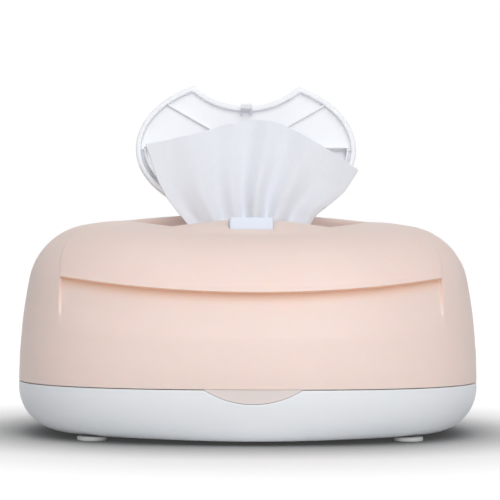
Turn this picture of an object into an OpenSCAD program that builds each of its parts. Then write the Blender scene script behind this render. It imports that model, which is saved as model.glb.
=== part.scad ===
/* [Body] */
// Width of the body over its widest line
body_w = 250; // [220:1:290]
// Reach of the body from its middle line to the front
front_reach = 91.5; // [86:0.5:104]
// Reach of the body from its middle line to the rear wall
rear_reach = 85.1; // [82:0.1:98]
// Height of the lid's rear rim above the table
body_h = 119; // [114:0.5:130]
// Height of the parting line between base and lid
seam_z = 29; // [28:0.5:33]
// Gap of the parting line
seam_gap = 0.4; // [0.2:0.1:0.8]
// Squareness of the body's plan, where 2 is an ellipse
plan_power = 2.7; // [2.4:0.1:3.1]
// Squareness of the plan where the shoulder meets the top
top_power = 2.35; // [2:0.05:2.7]

/* [Lid shell] */
// Wall of the lid shell
lid_wall = 2.5; // [1.8:0.1:3]
// Lean of the lid's wall where the shoulder starts, in degrees
wall_lean = 8; // [5:0.5:12]
// Steepness of the shoulder where it meets the top, in degrees from level
top_lean = 13; // [10:0.5:18]
// Shoulder radius at the sides
side_shoulder = 42; // [34:1:46]
// Shoulder radius at the front
front_shoulder = 41.5; // [34:0.5:45]
// Shoulder radius at the rear
rear_shoulder = 29; // [22:0.5:32]
// How far the opening's side rims lie below the rear rim
side_fall = 2.9; // [1:0.1:5]
// How far the opening's front rim lies below the rear rim
front_fall = 7.4; // [5:0.1:9]

/* [Front lip] */
// Height of the lip's edge in the middle of the front
lip_z = 78.6; // [72:0.2:84]
// Height that the lip's line reaches at the sides
lip_side_z = 89; // [80:0.5:94]
// Half length of the lip along the width
lip_half = 101; // [85:0.5:108]
// Depth of the scoop under the lip
scoop_depth = 5; // [2:0.5:6]
// Thickness of the lip's edge
lip_edge = 1; // [0.6:0.1:2]
// Where the scoop runs out, as a height above the table
scoop_foot_z = 54; // [46:1:62]
// How far the band above the lip stands out from the sides
band_step = 0.5; // [0.2:0.1:0.8]

/* [Opening in the lid] */
// Half width of the opening
dish_a = 67.5; // [60:0.5:72]
// Reach of the opening from its middle to the front
dish_front = 46.2; // [42:0.2:48]
// Reach of the opening from its middle to the rear
dish_rear = 50; // [46:0.5:52]
// Squareness of the opening's rear half, where 2 is an ellipse
dish_rear_power = 3; // [2.6:0.1:3.6]
// Place of the opening's middle behind the body's middle line
dish_y = 2.7; // [1:0.1:4]
// Radius of the rounded rim
rim_r = 3; // [2:0.1:3.5]
// Height of the opening's floor
floor_z = 99; // [96:0.5:101]
// Thickness of the floor
floor_t = 2.2; // [1.6:0.1:3]
// Radius of the tongue that carries the latch button
tongue_r = 40.6; // [36:0.2:44]
// Place of that radius's middle before the body's middle line
tongue_y = 67.2; // [64:0.2:70]
// Height of the hump on the tongue
hump_h = 3.2; // [1.5:0.1:4]
// Half width of the slot for the wipe
slot_a = 17; // [12:0.5:22]
// Half breadth of the slot for the wipe
slot_b = 1.6; // [1.4:0.1:3]

/* [Flap] */
// Gap between flap and opening
flap_gap = 1.2; // [0.8:0.1:2]
// Thickness of the flap's plate
flap_t = 1.8; // [1.4:0.1:2.4]
// Depth of the flap's rim below its top
flap_rim_h = 5; // [4:0.1:6]
// Width of the flap's rim
flap_rim_w = 2.6; // [1.8:0.1:3.2]
// Depth of the inner wall below the hinge axis
inner_wall_h = 9; // [7:0.5:11]
// Distance of the inner wall from the flap's edge
inner_wall_in = 4.6; // [4:0.1:6]
// Thickness of the inner wall and the ribs
rib_t = 1.4; // [1:0.1:2]
// Reach of the flap's hook below the hinge axis
hook_h = 9.5; // [7:0.5:10]
// Width of the hook
hook_w = 6.4; // [5:0.2:9]
// Swing of the flap from shut to open, in degrees
flap_swing = 101.5; // [90:0.5:104]
// Fall of the shut flap towards the front, in degrees
shut_fall = 3.5; // [3:0.1:4]
// Half width of the flap's hinge barrel
barrel_half = 23.6; // [18:0.2:26]
// Radius of the flap's hinge barrel
barrel_r = 2.8; // [2.4:0.1:3]
// Radius of the flap's hinge pin
flap_pin_r = 1; // [0.8:0.1:1.3]

/* [Latch button] */
// Width of the latch button
button_w = 23.4; // [18:0.2:26]
// Depth of the latch button from front to rear
button_d = 14; // [10:0.5:15]
// Height of the button's top above the table at rest
button_top = 117.2; // [116.6:0.1:118]
// Travel of the button
button_travel = 2; // [1.2:0.1:2.4]
// Place of the button's middle before the body's middle line
button_y = 43.5; // [42:0.5:45]

/* [Base] */
// Height of the feet below the base
foot_h = 2; // [1.5:0.1:3]
// Radius of the base's lower edge
base_corner = 24; // [16:0.5:24]
// Wall of the base
base_wall = 2.4; // [1.8:0.1:3]
// Width of the finger notch in the base's front
notch_w = 51; // [40:1:60]
// Height of the finger notch
notch_h = 7.5; // [5:0.5:9]
// Distance of the feet's middles from the body's widest line
foot_side_in = 42; // [39:0.5:49]
// Distance of the feet's middles from the body's front and rear
foot_front_in = 40.3; // [36:0.1:44]
// Radius of a rubber foot
foot_r = 8; // [6:0.5:9]

/* [Lid hinge] */
// Distance of each hinge from the middle line
hinge_x = 34; // [28:1:42]
// Radius of the hinge knuckles
knuckle_r = 3; // [2.6:0.1:3.4]
// Radius of the hinge pins
hinge_pin_r = 1.5; // [1:0.1:1.6]
// Width of a base knuckle
base_knuckle = 14; // [8:1:18]
// Width of a lid knuckle
lid_knuckle = 8; // [6:1:12]

/* [Wipe tub] */
// Half width of the tub's floor
tub_a = 96; // [90:0.5:97]
// Half breadth of the tub's floor
tub_b = 60; // [57:0.5:61]
// Height of the tub floor's underside
tub_floor_z = 12; // [11:0.2:13]
// Wall of the tub
tub_wall = 1.8; // [1.4:0.1:2.2]
// Height of the tub's collar above the parting line
collar_h = 7; // [4:0.5:10]
// Squareness of the tub's plan
tub_power = 4.5; // [4:0.1:5]
// Width of the stack of wipes
stack_w = 166; // [140:1:168]
// Breadth of the stack of wipes
stack_d = 96; // [80:1:98]
// Height of the stack of wipes
stack_h = 50; // [20:1:55]

/* [Heater] */
// Width of the heat spreader
spreader_w = 110; // [90:1:116]
// Breadth of the heat spreader
spreader_d = 88; // [70:1:92]
// Thickness of the heat spreader
spreader_t = 1.2; // [0.8:0.1:1.6]
// Thickness of the heating film
film_t = 0.6; // [0.4:0.1:1]
// Thickness of the insulation pad
pad_t = 3.6; // [3:0.1:4]

/* [Fits] */
// Radial clearance of a pin in a part that turns on it
pin_clear = 0.05; // [0.02:0.01:0.1]
// Clearance between pieces that slide or drop into each other
fit_clear = 0.35; // [0.2:0.05:0.5]

/* [Hidden] */

peach = [0.92, 0.79, 0.74];
peach_grey = [0.85, 0.80, 0.78];
white = [0.95, 0.96, 0.97];
cool_white = [0.88, 0.92, 0.97];
steel = [0.62, 0.63, 0.65];
dark = [0.15, 0.15, 0.16];

lid_z = seam_z + seam_gap / 2;
base_z = seam_z - seam_gap / 2;
body_half = body_w / 2;
foot_x = body_half - foot_side_in;
foot_y = (front_reach + rear_reach) / 2 - foot_front_in;

// Stations around the lid: a band across the front, then the way round the sides and the rear
band_n = 20;
rest_n = 46;
station_n = band_n + rest_n + 2;
crease_step = 1.2;
// Share of the front band that lies on the tongue, and where the band ends on the opening
tongue_share = 0.6;
band_end = 30;
height_power = 1.6;

function mix(a, b, w) = a * (1 - w) + b * w;
function smooth(q) = let (c = min(1, max(0, q))) c * c * (3 - 2 * c);

// A guide is a profile from the parting line to the opening's rim:
// reach, shoulder radius, reach of the rim, height of the rim, height of the lip's line
side_guide = [body_half, side_shoulder, dish_a, body_h - side_fall, lip_side_z];
front_guide = [front_reach, front_shoulder, dish_front - dish_y, body_h - front_fall, lip_z];
rear_guide = [rear_reach, rear_shoulder, dish_rear + dish_y, body_h, lip_side_z + 3];

lean_share = tan(wall_lean) / 2;
rise_share = tan(top_lean) / 2;
arc_out = cos(wall_lean) - sin(top_lean);
arc_up = cos(top_lean) - sin(wall_lean);

// Height at which a guide's shoulder arc starts, so that its top meets the rim
function arc_start(g) =
    (g[3] - g[1] * arc_up - rise_share * (g[0] + lean_share * seam_z - g[1] * arc_out - g[2]))
    / (1 - rise_share * lean_share);
function wall_reach(g, z) =
    g[0] - lean_share * pow(max(0, z - seam_z), 2) / (arc_start(g) - seam_z);
function wall_angle(g, z) = atan(2 * lean_share * max(0, z - seam_z) / (arc_start(g) - seam_z));

// Point of a guide: reach and height, moved inwards by inset along the surface's normal
function on_wall(g, z, inset) =
    let (turn = wall_angle(g, z))
    [wall_reach(g, z) - inset * cos(turn), z - inset * sin(turn)];
function on_arc(g, turn, inset) =
    let (z = arc_start(g), hub = wall_reach(g, z) - g[1] * cos(wall_lean), r = g[1] - inset)
    [hub + r * cos(turn), z - g[1] * sin(wall_lean) + r * sin(turn)];
function lip_angle(g) = asin(min(0.9, max(sin(wall_lean), sin(wall_lean) + (g[4] - arc_start(g)) / g[1])));
function guide_point(g, v, inset) =
    let (z = mix(lid_z, g[4], min(v, 1)))
    v <= 1 ? (z < arc_start(g) ? on_wall(g, z, v == 0 ? 0 : inset) - [v == 0 ? inset : 0, 0]
        : on_arc(g, asin(sin(wall_lean) + (z - arc_start(g)) / g[1]), inset))
    : on_arc(g, mix(lip_angle(g), 90 - top_lean, v - 1), inset)
        - [0, max(0, arc_start(g) - g[4]) * (2 - v)];

// Squareness and crease angle at each level
function level_power(v) = mix(plan_power, top_power, smooth(v - 1));
crease_angle = acos(pow(lip_half / body_half, plan_power / 2));
function level_crease(v) = crease_angle * (1 - 0.45 * min(1, max(0, v - 1)));
function station_angle(j, crease) =
    j <= band_n ? -180 + crease + j * (180 - 2 * crease) / band_n
    : crease_step - crease + (j - band_n - 1) * (180 + 2 * crease - 2 * crease_step) / rest_n;
function in_band(j) = j <= band_n;
function band_place(j) = 2 * j / band_n - 1;

// Point of a rounded-square outline
function outline_point(t, a, front, rear, power, mid) =
    let (e = 2 / power)
    [sign(cos(t)) * a * pow(abs(cos(t)), e),
     mid + sign(sin(t)) * (sin(t) < 0 ? front + mid : rear - mid) * pow(abs(sin(t)), e)];

// Depth of the scoop at a level, outside and inside of the wall
scoop_foot = (scoop_foot_z - lid_z) / (lip_z - lid_z);
lip_under = 1 - lip_edge / (lip_z - lid_z);
function scoop_at(j, v) =
    in_band(j) ? scoop_depth * smooth((v - scoop_foot) / (lip_under - scoop_foot))
        * (1 - 0.35 * pow(band_place(j), 4)) : 0;
function scoop_outside(j, v) = v < 1 ? scoop_at(j, v) : 0;
function scoop_inside(j, v) = scoop_at(j, v) * (1 - smooth((v - 1) / 0.25));
function band_raise(j, v) = in_band(j) && v >= 1 ? band_step * (1 - smooth((v - 1.5) / 0.5)) : 0;

function shell_point(j, v, inset, dent) =
    let (t = station_angle(j, level_crease(v)), side = guide_point(side_guide, v, inset),
        front = guide_point(front_guide, v, inset), rear = guide_point(rear_guide, v, inset),
        p = outline_point(t, side.x, front.x, rear.x, level_power(v), 0),
        w = pow(abs(cos(t)), height_power))
    [p.x, p.y + dent, mix(sin(t) < 0 ? front.y : rear.y, side.y, w)];

// Outline of the opening, moved inwards by inset, with the tongue cut out of its front
function tongue_edge(x, inset) = sqrt(pow(tongue_r + inset, 2) - x * x) - tongue_y;
function opening_front(x, inset) =
    dish_y - (dish_front - inset) * sqrt(1 - pow(x / (dish_a - inset), 2));
function corner_x(inset, low = 10, high = 38, steps = 18) =
    let (middle = (low + high) / 2)
    steps == 0 ? middle
    : tongue_edge(middle, inset) > opening_front(middle, inset) ? corner_x(inset, middle, high, steps - 1)
    : corner_x(inset, low, middle, steps - 1);
function ellipse_point(t, inset, rear) =
    outline_point(t, dish_a - inset, dish_front - inset - dish_y, rear - inset + dish_y,
        sin(t) > 0 && rear == dish_rear ? dish_rear_power : 2, dish_y);
function opening_angle(j, inset) =
    let (u = band_place(j), far = acos(corner_x(inset) / (dish_a - inset)),
        t = mix(far, band_end, (abs(u) - tongue_share) / (1 - tongue_share)))
    in_band(j) ? (u < 0 ? t - 180 : -t) : station_angle(j, band_end);
function on_tongue(j) = in_band(j) && abs(band_place(j)) < tongue_share + 0.001;
function opening_point(j, inset, rear) =
    let (x = corner_x(inset) * band_place(j) / tongue_share)
    on_tongue(j) ? [x, tongue_edge(x, inset)] : ellipse_point(opening_angle(j, inset), inset, rear);
function rim_height_at(t) =
    mix(sin(t) < 0 ? front_guide[3] : rear_guide[3], side_guide[3], pow(abs(cos(t)), height_power));
corner_angle = -acos(corner_x(0) / dish_a);
function rim_height(j) =
    on_tongue(j) ? rim_height_at(corner_angle) + hump_h * pow(cos(90 * band_place(j) / tongue_share), 2)
    : rim_height_at(opening_angle(j, 0));

// Rings of the lid shell, from the parting line over the top, down the opening and back inside
function top_ring(w, inset) = [for (j = [0:station_n - 1])
    let (a = shell_point(j, 2, inset, 0), p = opening_point(j, -inset * 0.6, dish_rear),
        z = rim_height(j) - inset)
    [mix(a.x, p.x, w), mix(a.y, p.y, w), mix(a.z, z, w * (2 - w))]];
function outer_ring(v) = [for (j = [0:station_n - 1])
    shell_point(j, v, -band_raise(j, v), scoop_outside(j, v))];
function inner_ring(v) = [for (j = [0:station_n - 1]) shell_point(j, v, lid_wall, scoop_inside(j, v))];
function opening_ring(inset, drop) = [for (j = [0:station_n - 1])
    let (p = opening_point(j, inset, dish_rear)) [p.x, p.y, rim_height(j) - drop]];
function level_ring(inset, z) = [for (j = [0:station_n - 1])
    let (p = opening_point(j, inset, dish_rear)) [p.x, p.y, z]];
function hole_ring(a, b, z) = [for (j = [0:station_n - 1])
    let (t = opening_angle(j, 0), u = band_place(j))
    let (s = on_tongue(j) ? -90 + u / tongue_share * (90 + corner_angle) : t)
    [a * cos(s), dish_y + b * sin(s), z]];

scoop_rings = 5;
shoulder_rings = 6;
top_rings = 3;
scoop_levels = [for (i = [0:scoop_rings]) mix(scoop_foot, lip_under, i / scoop_rings)];
shoulder_levels = [for (i = [0:shoulder_rings]) 1 + i / shoulder_rings];
inner_levels = [2, 1.66, 1.33, 1.15, 1.02, 0.9, 0.8, 0.66, scoop_foot, 0];
hole_a = 38;
hole_b = 21;
lid_rings = concat(
    [outer_ring(0), outer_ring(0.25)],
    [for (v = scoop_levels) outer_ring(v)],
    [for (v = shoulder_levels) outer_ring(v)],
    [for (i = [1:top_rings]) top_ring(i / top_rings, 0)],
    [for (a = [30, 60, 90]) opening_ring(rim_r * sin(a), rim_r * (1 - cos(a)))],
    [level_ring(rim_r + 0.6, floor_z + 2), level_ring(rim_r + 2.4, floor_z)],
    [hole_ring(hole_a, hole_b, floor_z), hole_ring(hole_a, hole_b, floor_z - floor_t)],
    [level_ring(rim_r + 0.2, floor_z - floor_t), level_ring(rim_r - 1.6, floor_z - floor_t + 1.8)],
    [opening_ring(rim_r - 2.2, rim_r + lid_wall)],
    [for (w = [0.8, 0.4]) top_ring(w, lid_wall)],
    [for (v = inner_levels) inner_ring(v)]);

// Solid from rings of equal length: closed like a ring, or capped at both ends
function grid_faces(rings, n, wrap) = [for (k = [0:rings - (wrap ? 1 : 2)], j = [0:n - 1])
    let (m = (k + 1) % rings, i = (j + 1) % n)
    each [[k * n + j, m * n + j, m * n + i], [k * n + j, m * n + i, k * n + i]]];
module ring_solid(rings, wrap = true) {
    n = len(rings[0]);
    caps = wrap ? [] : [[for (j = [0:n - 1]) j], [for (j = [0:n - 1]) (len(rings) - 1) * n + n - 1 - j]];
    polyhedron([for (r = rings) each r], concat(grid_faces(len(rings), n, wrap), caps), 10);
}
// Thin sheet from rings that run out along its front and back along its rear, with its ends closed
function strip_faces(n, first) = [for (j = [0:n / 2 - 2])
    each [[first + j, first + j + 1, first + n - 2 - j], [first + j, first + n - 2 - j, first + n - 1 - j]]];
module sheet_solid(rings) {
    n = len(rings[0]);
    ends = concat(strip_faces(n, 0), [for (f = strip_faces(n, (len(rings) - 1) * n)) [f[2], f[1], f[0]]]);
    polyhedron([for (r = rings) each r], concat(grid_faces(len(rings), n, false), ends), 10);
}

// Flat ring of the body's own outline, moved inwards
base_n = 60;
function body_ring(inset, z, n = base_n) = [for (i = [0:n - 1])
    let (p = outline_point(360 * i / n, body_half - inset, front_reach - inset, rear_reach - inset,
        plan_power, 0)) [p.x, p.y, z]];
function plain_ring(a, front, rear, power, mid, z, n = base_n) = [for (i = [0:n - 1])
    let (p = outline_point(360 * i / n, a, front, rear, power, mid)) [p.x, p.y, z]];

// Base
base_arc = min(base_corner, seam_z - foot_h - 3);
arc_z = foot_h + base_arc;
ledge_w = 3;
ledge_drop = 2;
flange_in = base_wall + 0.6;
base_rings = concat(
    [for (a = [90, 75, 60, 45, 30, 15, 0]) body_ring(base_arc * (1 - cos(a)), arc_z - base_arc * sin(a))],
    [body_ring(0, base_z), body_ring(base_wall, base_z), body_ring(base_wall, base_z - ledge_drop),
     body_ring(base_wall + ledge_w, base_z - ledge_drop), body_ring(base_wall + ledge_w, base_z - 4)],
    [for (a = [12, 30, 50, 70, 90])
        body_ring(base_arc - (base_arc - base_wall) * cos(a), arc_z - (base_arc - base_wall) * sin(a))]);
base_floor = foot_h + base_wall;

notch_r = (pow(notch_w / 2, 2) + notch_h * notch_h) / (2 * notch_h);
notch_depth = 3.2;
module notch_cut(r, front, rear) {
    translate([0, -rear, seam_z - notch_h + notch_r]) rotate([90, 0, 0])
        cylinder(r = r, h = front - rear, $fn = 160);
}

post_x = 68;
post_y = 39;
post_r = 3.5;
screw_r = 1.5;
head_r = 3;
boss_z = base_floor + 2.6;
module at_posts() {
    for (sx = [-1, 1], sy = [-1, 1]) translate([sx * post_x, tub_mid + sy * post_y, 0]) children();
}
module at_feet() {
    for (sx = [-1, 1], sy = [-1, 1]) translate([sx * foot_x, tub_mid + sy * foot_y, 0]) children();
}

hinge_gap = 0.4;
hinge_y = rear_reach + hinge_gap + knuckle_r;
hinge_z = seam_z;
// Place of the body's rear surface at a distance x from the middle line
function rear_surface(x, inset = 0) =
    (rear_reach - inset) * pow(1 - pow(abs(x) / (body_half - inset), plan_power), 1 / plan_power);
module knuckle(x, width, low, high) {
    root = rear_surface(abs(x) + width / 2) - 1;
    translate([x - width / 2, hinge_y, hinge_z]) rotate([0, 90, 0])
        cylinder(r = knuckle_r, h = width, $fn = 40);
    translate([x - width / 2, root, hinge_z + low]) cube([width, hinge_y - root, high - low]);
}
module hinge_bore() {
    translate([-body_half, hinge_y, hinge_z]) rotate([0, 90, 0])
        cylinder(r = hinge_pin_r + pin_clear, h = body_w, $fn = 32);
}

inlet_x = 52;
inlet_z = 14;
inlet_r = 4;
// Rear surface of the base at the inlet
inlet_face = rear_surface(inlet_x, base_arc * (1 - cos(asin(min(0.95, (arc_z - inlet_z) / base_arc)))));
module base_shell() {
    color(white) difference() {
        union() {
            ring_solid(base_rings, false);
            at_feet() translate([0, 0, foot_h - 1.1]) cylinder(r = foot_r + 1, h = base_wall + 0.4, $fn = 48);
            at_posts() translate([0, 0, foot_h + 0.5]) cylinder(r = post_r + 1, h = boss_z - foot_h - 0.5, $fn = 32);
            for (s = [-1, 1]) knuckle(s * hinge_x, base_knuckle, -knuckle_r, -seam_gap);
        }
        at_feet() translate([0, 0, -1]) cylinder(r = foot_r + 0.15, h = 1 + foot_h + 0.1, $fn = 48);
        at_posts() {
            translate([0, 0, -1]) cylinder(r = screw_r + 0.2, h = 30, $fn = 24);
            translate([0, 0, -1]) cylinder(r = head_r + 0.3, h = foot_h + 3.6, $fn = 32);
        }
        notch_cut(notch_r, front_reach + 2, front_reach - notch_depth);
        translate([inlet_x, inlet_face + 4, inlet_z]) rotate([90, 0, 0])
            cylinder(r = inlet_r + 0.3, h = 12, $fn = 40);
        hinge_bore();
    }
}

module foot() {
    color(dark) cylinder(r = foot_r, h = foot_h, $fn = 48);
}
module foot_at(sx, sy) {
    translate([sx * foot_x, tub_mid + sy * foot_y, 0]) foot();
}

// Wipe tub
tub_mid = (rear_reach - front_reach) / 2;
tub_top = base_z + collar_h;
tub_draft = 6;
function tub_ring(grow, z, n = base_n) =
    plain_ring(tub_a + grow, tub_b + grow - tub_mid, tub_b + grow + tub_mid, tub_power, tub_mid, z, n);
tub_corner = 5;
stack_corner = 10;
flange_z = base_z - ledge_drop;
function tub_grow(z) = tub_draft * (z - tub_floor_z) / (tub_top - tub_floor_z);
tub_rings = concat(
    [for (a = [90, 60, 30, 0])
        tub_ring(tub_corner * (cos(a) - 1), tub_floor_z + tub_corner * (1 - sin(a)))],
    [tub_ring(tub_grow(flange_z), flange_z), body_ring(flange_in, flange_z),
     body_ring(flange_in, flange_z + tub_wall), tub_ring(tub_grow(flange_z), flange_z + tub_wall),
     tub_ring(tub_draft, tub_top), tub_ring(tub_draft - tub_wall, tub_top)],
    [for (a = [0, 30, 60, 90])
        tub_ring((tub_corner - tub_wall) * cos(a) - tub_corner, tub_floor_z + tub_corner
            - (tub_corner - tub_wall) * sin(a))]);
module inner_tub() {
    color(white) difference() {
        union() {
            ring_solid(tub_rings, false);
            at_posts() translate([0, 0, boss_z])
                cylinder(r = post_r, h = tub_floor_z + tub_wall / 2 - boss_z, $fn = 32);
        }
        at_posts() translate([0, 0, boss_z - 1]) cylinder(r = screw_r, h = tub_floor_z - boss_z + 1, $fn = 24);
    }
}
module tub_screws() {
    color(steel) at_posts() {
        translate([0, 0, foot_h + 1]) cylinder(r = head_r, h = 1.6, $fn = 32);
        translate([0, 0, foot_h + 2]) cylinder(r = screw_r - pin_clear, h = tub_floor_z - foot_h - 2.5, $fn = 24);
    }
}

module rounded_plate(w, d, t, r) {
    linear_extrude(t) union() {
        square([w - 2 * r, d], center = true);
        square([w, d - 2 * r], center = true);
        for (sx = [-1, 1], sy = [-1, 1]) translate([sx * (w / 2 - r), sy * (d / 2 - r)]) circle(r, $fn = 40);
    }
}
spreader_z = tub_floor_z - spreader_t;
film_z = spreader_z - film_t;
pad_z = film_z - pad_t;
well_x = 30;
well_w = 17;
module heat_spreader() {
    color(steel) translate([0, tub_mid, spreader_z]) rounded_plate(spreader_w, spreader_d, spreader_t, 5);
}
module heating_film() {
    color([0.75, 0.42, 0.20]) translate([0, tub_mid, film_z])
        rounded_plate(spreader_w - 4, spreader_d - 4, film_t, 4);
}
module insulation_pad() {
    color([0.80, 0.80, 0.76]) translate([0, tub_mid, pad_z]) difference() {
        rounded_plate(spreader_w - 2, spreader_d - 2, pad_t, 4);
        for (s = [-1, 1]) translate([s * well_x, 0, pad_t / 2]) cube([well_w, well_w + 4, pad_t + 2], center = true);
    }
}
module thermostat() {
    color(steel) translate([-well_x, tub_mid, film_z]) {
        translate([0, 0, -1]) cylinder(r = 5.5, h = 1, $fn = 40);
        translate([0, 0, -3.2]) cylinder(r = 4.6, h = 2.4, $fn = 40);
        for (s = [-1, 1]) translate([s * 5.4, 0, -2.6]) cube([4.4, 2.4, 0.5], center = true);
    }
}
module thermal_fuse() {
    color([0.85, 0.85, 0.86]) translate([well_x, tub_mid, film_z - 1.65]) rotate([90, 0, 0]) {
        translate([0, 0, -5]) cylinder(r = 1.6, h = 10, $fn = 32);
        translate([0, 0, -8.5]) cylinder(r = 0.4, h = 17, $fn = 16);
    }
}

board_w = 28;
board_t = 1.2;
board_gap = 1.2;
board_edge = 2;
board_z = base_floor + 3;
post_in = 4;
// The board fills the room between the heat spreader and the base's rear corner
board_corner = asin((arc_z - board_z) / (base_arc - base_wall));
board_front = tub_mid + spreader_d / 2 + board_gap;
board_rear = rear_surface(inlet_x + board_w / 2, base_arc - (base_arc - base_wall) * cos(board_corner))
    - board_edge;
board_d = board_rear - board_front;
chip_w = 7;
module control_board() {
    color([0.16, 0.42, 0.24]) translate([inlet_x - board_w / 2, board_front, board_z])
        cube([board_w, board_d, board_t]);
    color(dark) translate([inlet_x - board_w / 2 + post_in, board_front + board_d * 0.3, board_z + board_t - 0.2])
        cube([chip_w, board_d * 0.4, board_t]);
    color(white) for (s = [-1, 1])
        translate([inlet_x + s * (board_w / 2 - post_in / 2), board_front + post_in, base_floor])
            cylinder(r = post_in / 2 - 0.2, h = board_z - base_floor + 0.4, $fn = 24);
}
jack_y = board_rear - 5;
jack_front = inlet_face - 0.8;
plug_r = 2.85;
plug_depth = 10;
module dc_inlet() {
    color(dark) difference() {
        union() {
            translate([inlet_x - 4.5, jack_y, board_z + 1.2]) cube([9, 8, inlet_z - board_z + 3]);
            translate([inlet_x, jack_front, inlet_z]) rotate([90, 0, 0])
                cylinder(r = inlet_r, h = jack_front - jack_y - 2, $fn = 40);
        }
        translate([inlet_x, jack_front + 1, inlet_z]) rotate([90, 0, 0])
            cylinder(r = plug_r, h = plug_depth + 1, $fn = 32);
    }
    color(steel) translate([inlet_x, jack_front - 1.2, inlet_z]) rotate([90, 0, 0])
        cylinder(r = 1, h = plug_depth, $fn = 24);
}

// Wires of the thermostat and the fuse, which run under the insulation pad
wire_r = 0.6;
wire_z = (base_floor + pad_z) / 2;
function unit(way) = way / norm(way);
// Rings of a wire that runs along points in one upright plane, mitred at its bends
function wire_rings(points) = let (last = len(points) - 1, along = unit(points[2] - points[1]),
        across = [-along.y, along.x, 0])
    [for (k = [0:last])
        let (before = unit(points[max(1, k)] - points[max(1, k) - 1]),
            after = unit(points[min(last - 1, k) + 1] - points[min(last - 1, k)]),
            bend = cross(across, before) + cross(across, after))
        [for (i = [0:9]) points[k] + wire_r * (cos(36 * i) * across + sin(36 * i) * bend * 2 / (bend * bend))]];
module wire(points) {
    ring_solid(wire_rings(points), false);
}
module heater_wires() {
    terminal_z = film_z - 2.85;
    fuse_end = 8.5 + wire_r;
    near_board = board_front + 5;
    color([0.72, 0.16, 0.13]) {
        wire([[well_x, tub_mid + fuse_end, film_z - 1.2], [well_x, tub_mid + fuse_end, wire_z],
            [inlet_x - 2, near_board, wire_z], [inlet_x - 2, near_board, board_z - 0.02]]);
        wire([[-well_x - 6.8, tub_mid, terminal_z], [-well_x - 6.8, tub_mid, wire_z],
            [inlet_x - 6, near_board, wire_z], [inlet_x - 6, near_board, board_z - 0.02]]);
        wire([[-well_x + 6.8, tub_mid, terminal_z], [-well_x + 6.8, tub_mid, wire_z],
            [well_x, tub_mid - fuse_end, wire_z], [well_x, tub_mid - fuse_end, film_z - 1.2]]);
    }
}

gasket_t = 2;
gasket_z = flange_z + tub_wall;
module rim_gasket() {
    near = base_wall + 2.2;
    far = near + 3.2;
    color([0.90, 0.91, 0.92]) ring_solid([body_ring(near, gasket_z), body_ring(near, gasket_z + gasket_t),
        body_ring(far, gasket_z + gasket_t), body_ring(far, gasket_z)]);
}

module wipe_stack() {
    color([0.97, 0.97, 0.97]) translate([0, tub_mid, tub_floor_z + tub_wall + 0.1])
        rounded_plate(stack_w, stack_d, stack_h, stack_corner);
}

module lid_hinge_pins() {
    length = base_knuckle + 2 * lid_knuckle + 1;
    color(steel) for (s = [-1, 1]) translate([s * hinge_x - length / 2, hinge_y, hinge_z]) rotate([0, 90, 0])
        cylinder(r = hinge_pin_r, h = length, $fn = 32);
}

// Lid
flap_y = dish_y + dish_rear - rim_r - barrel_r - 1.7;
flap_z = body_h - 3.5;
ear_w = 4.5;
ear_gap = 0.5;
boss_r = 4;
boss_h = 9;
boss_angles = [0, 48, 132, 180, 214, 326];
module at_lid_bosses() {
    for (t = boss_angles) let (p = ellipse_point(t > 180 ? t - 360 : t, rim_r - 1.8 - boss_r + 0.8, dish_rear))
        translate([p.x, p.y, floor_z - floor_t]) children();
}
button_gap = fit_clear;
button_h = 9.6;
button_flange = 1.6;
button_low = button_top - button_h;
function lid_ear_x() = barrel_half + ear_gap;
module flap_ears() {
    for (s = [-1, 1]) translate([s > 0 ? lid_ear_x() : -lid_ear_x() - ear_w, 0, 0]) {
        translate([0, flap_y, flap_z]) rotate([0, 90, 0]) cylinder(r = barrel_r, h = ear_w, $fn = 40);
        translate([0, flap_y - barrel_r, floor_z - 0.8]) cube([ear_w, 2 * barrel_r, flap_z - floor_z + 0.8]);
        translate([0, flap_y, floor_z + 4]) cube([ear_w, barrel_r + 1.6, flap_z - floor_z - 6]);
    }
}
module lid_shell() {
    color(peach) difference() {
        union() {
            ring_solid(lid_rings);
            flap_ears();
            at_lid_bosses() cylinder(r = boss_r, h = boss_h, $fn = 32);
            for (s = [-1, 1], k = [-1, 1])
                knuckle(s * hinge_x + k * (base_knuckle + lid_knuckle + 1) / 2, lid_knuckle, seam_gap, knuckle_r);
        }
        translate([-button_w / 2 - button_gap, -button_y - button_d / 2 - button_gap, floor_z + 7.5])
            cube([button_w + 2 * button_gap, button_d + 2 * button_gap, 20]);
        at_lid_bosses() translate([0, 0, -1]) cylinder(r = screw_r, h = boss_h, $fn = 24);
        translate([-body_half / 2, flap_y, flap_z]) rotate([0, 90, 0])
            cylinder(r = flap_pin_r + 0.03, h = body_half, $fn = 24);
        hinge_bore();
    }
}

tab_t = 1.7;
tab_in = 1;
module thumb_tab() {
    color(peach_grey) intersection() {
        notch_cut(notch_r - 0.5, front_reach - tab_in, front_reach - tab_in - tab_t);
        translate([-notch_w / 2 + 0.8, -front_reach, seam_z - notch_h])
            cube([notch_w - 1.6, front_reach, notch_h + seam_gap / 2]);
    }
}

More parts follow.
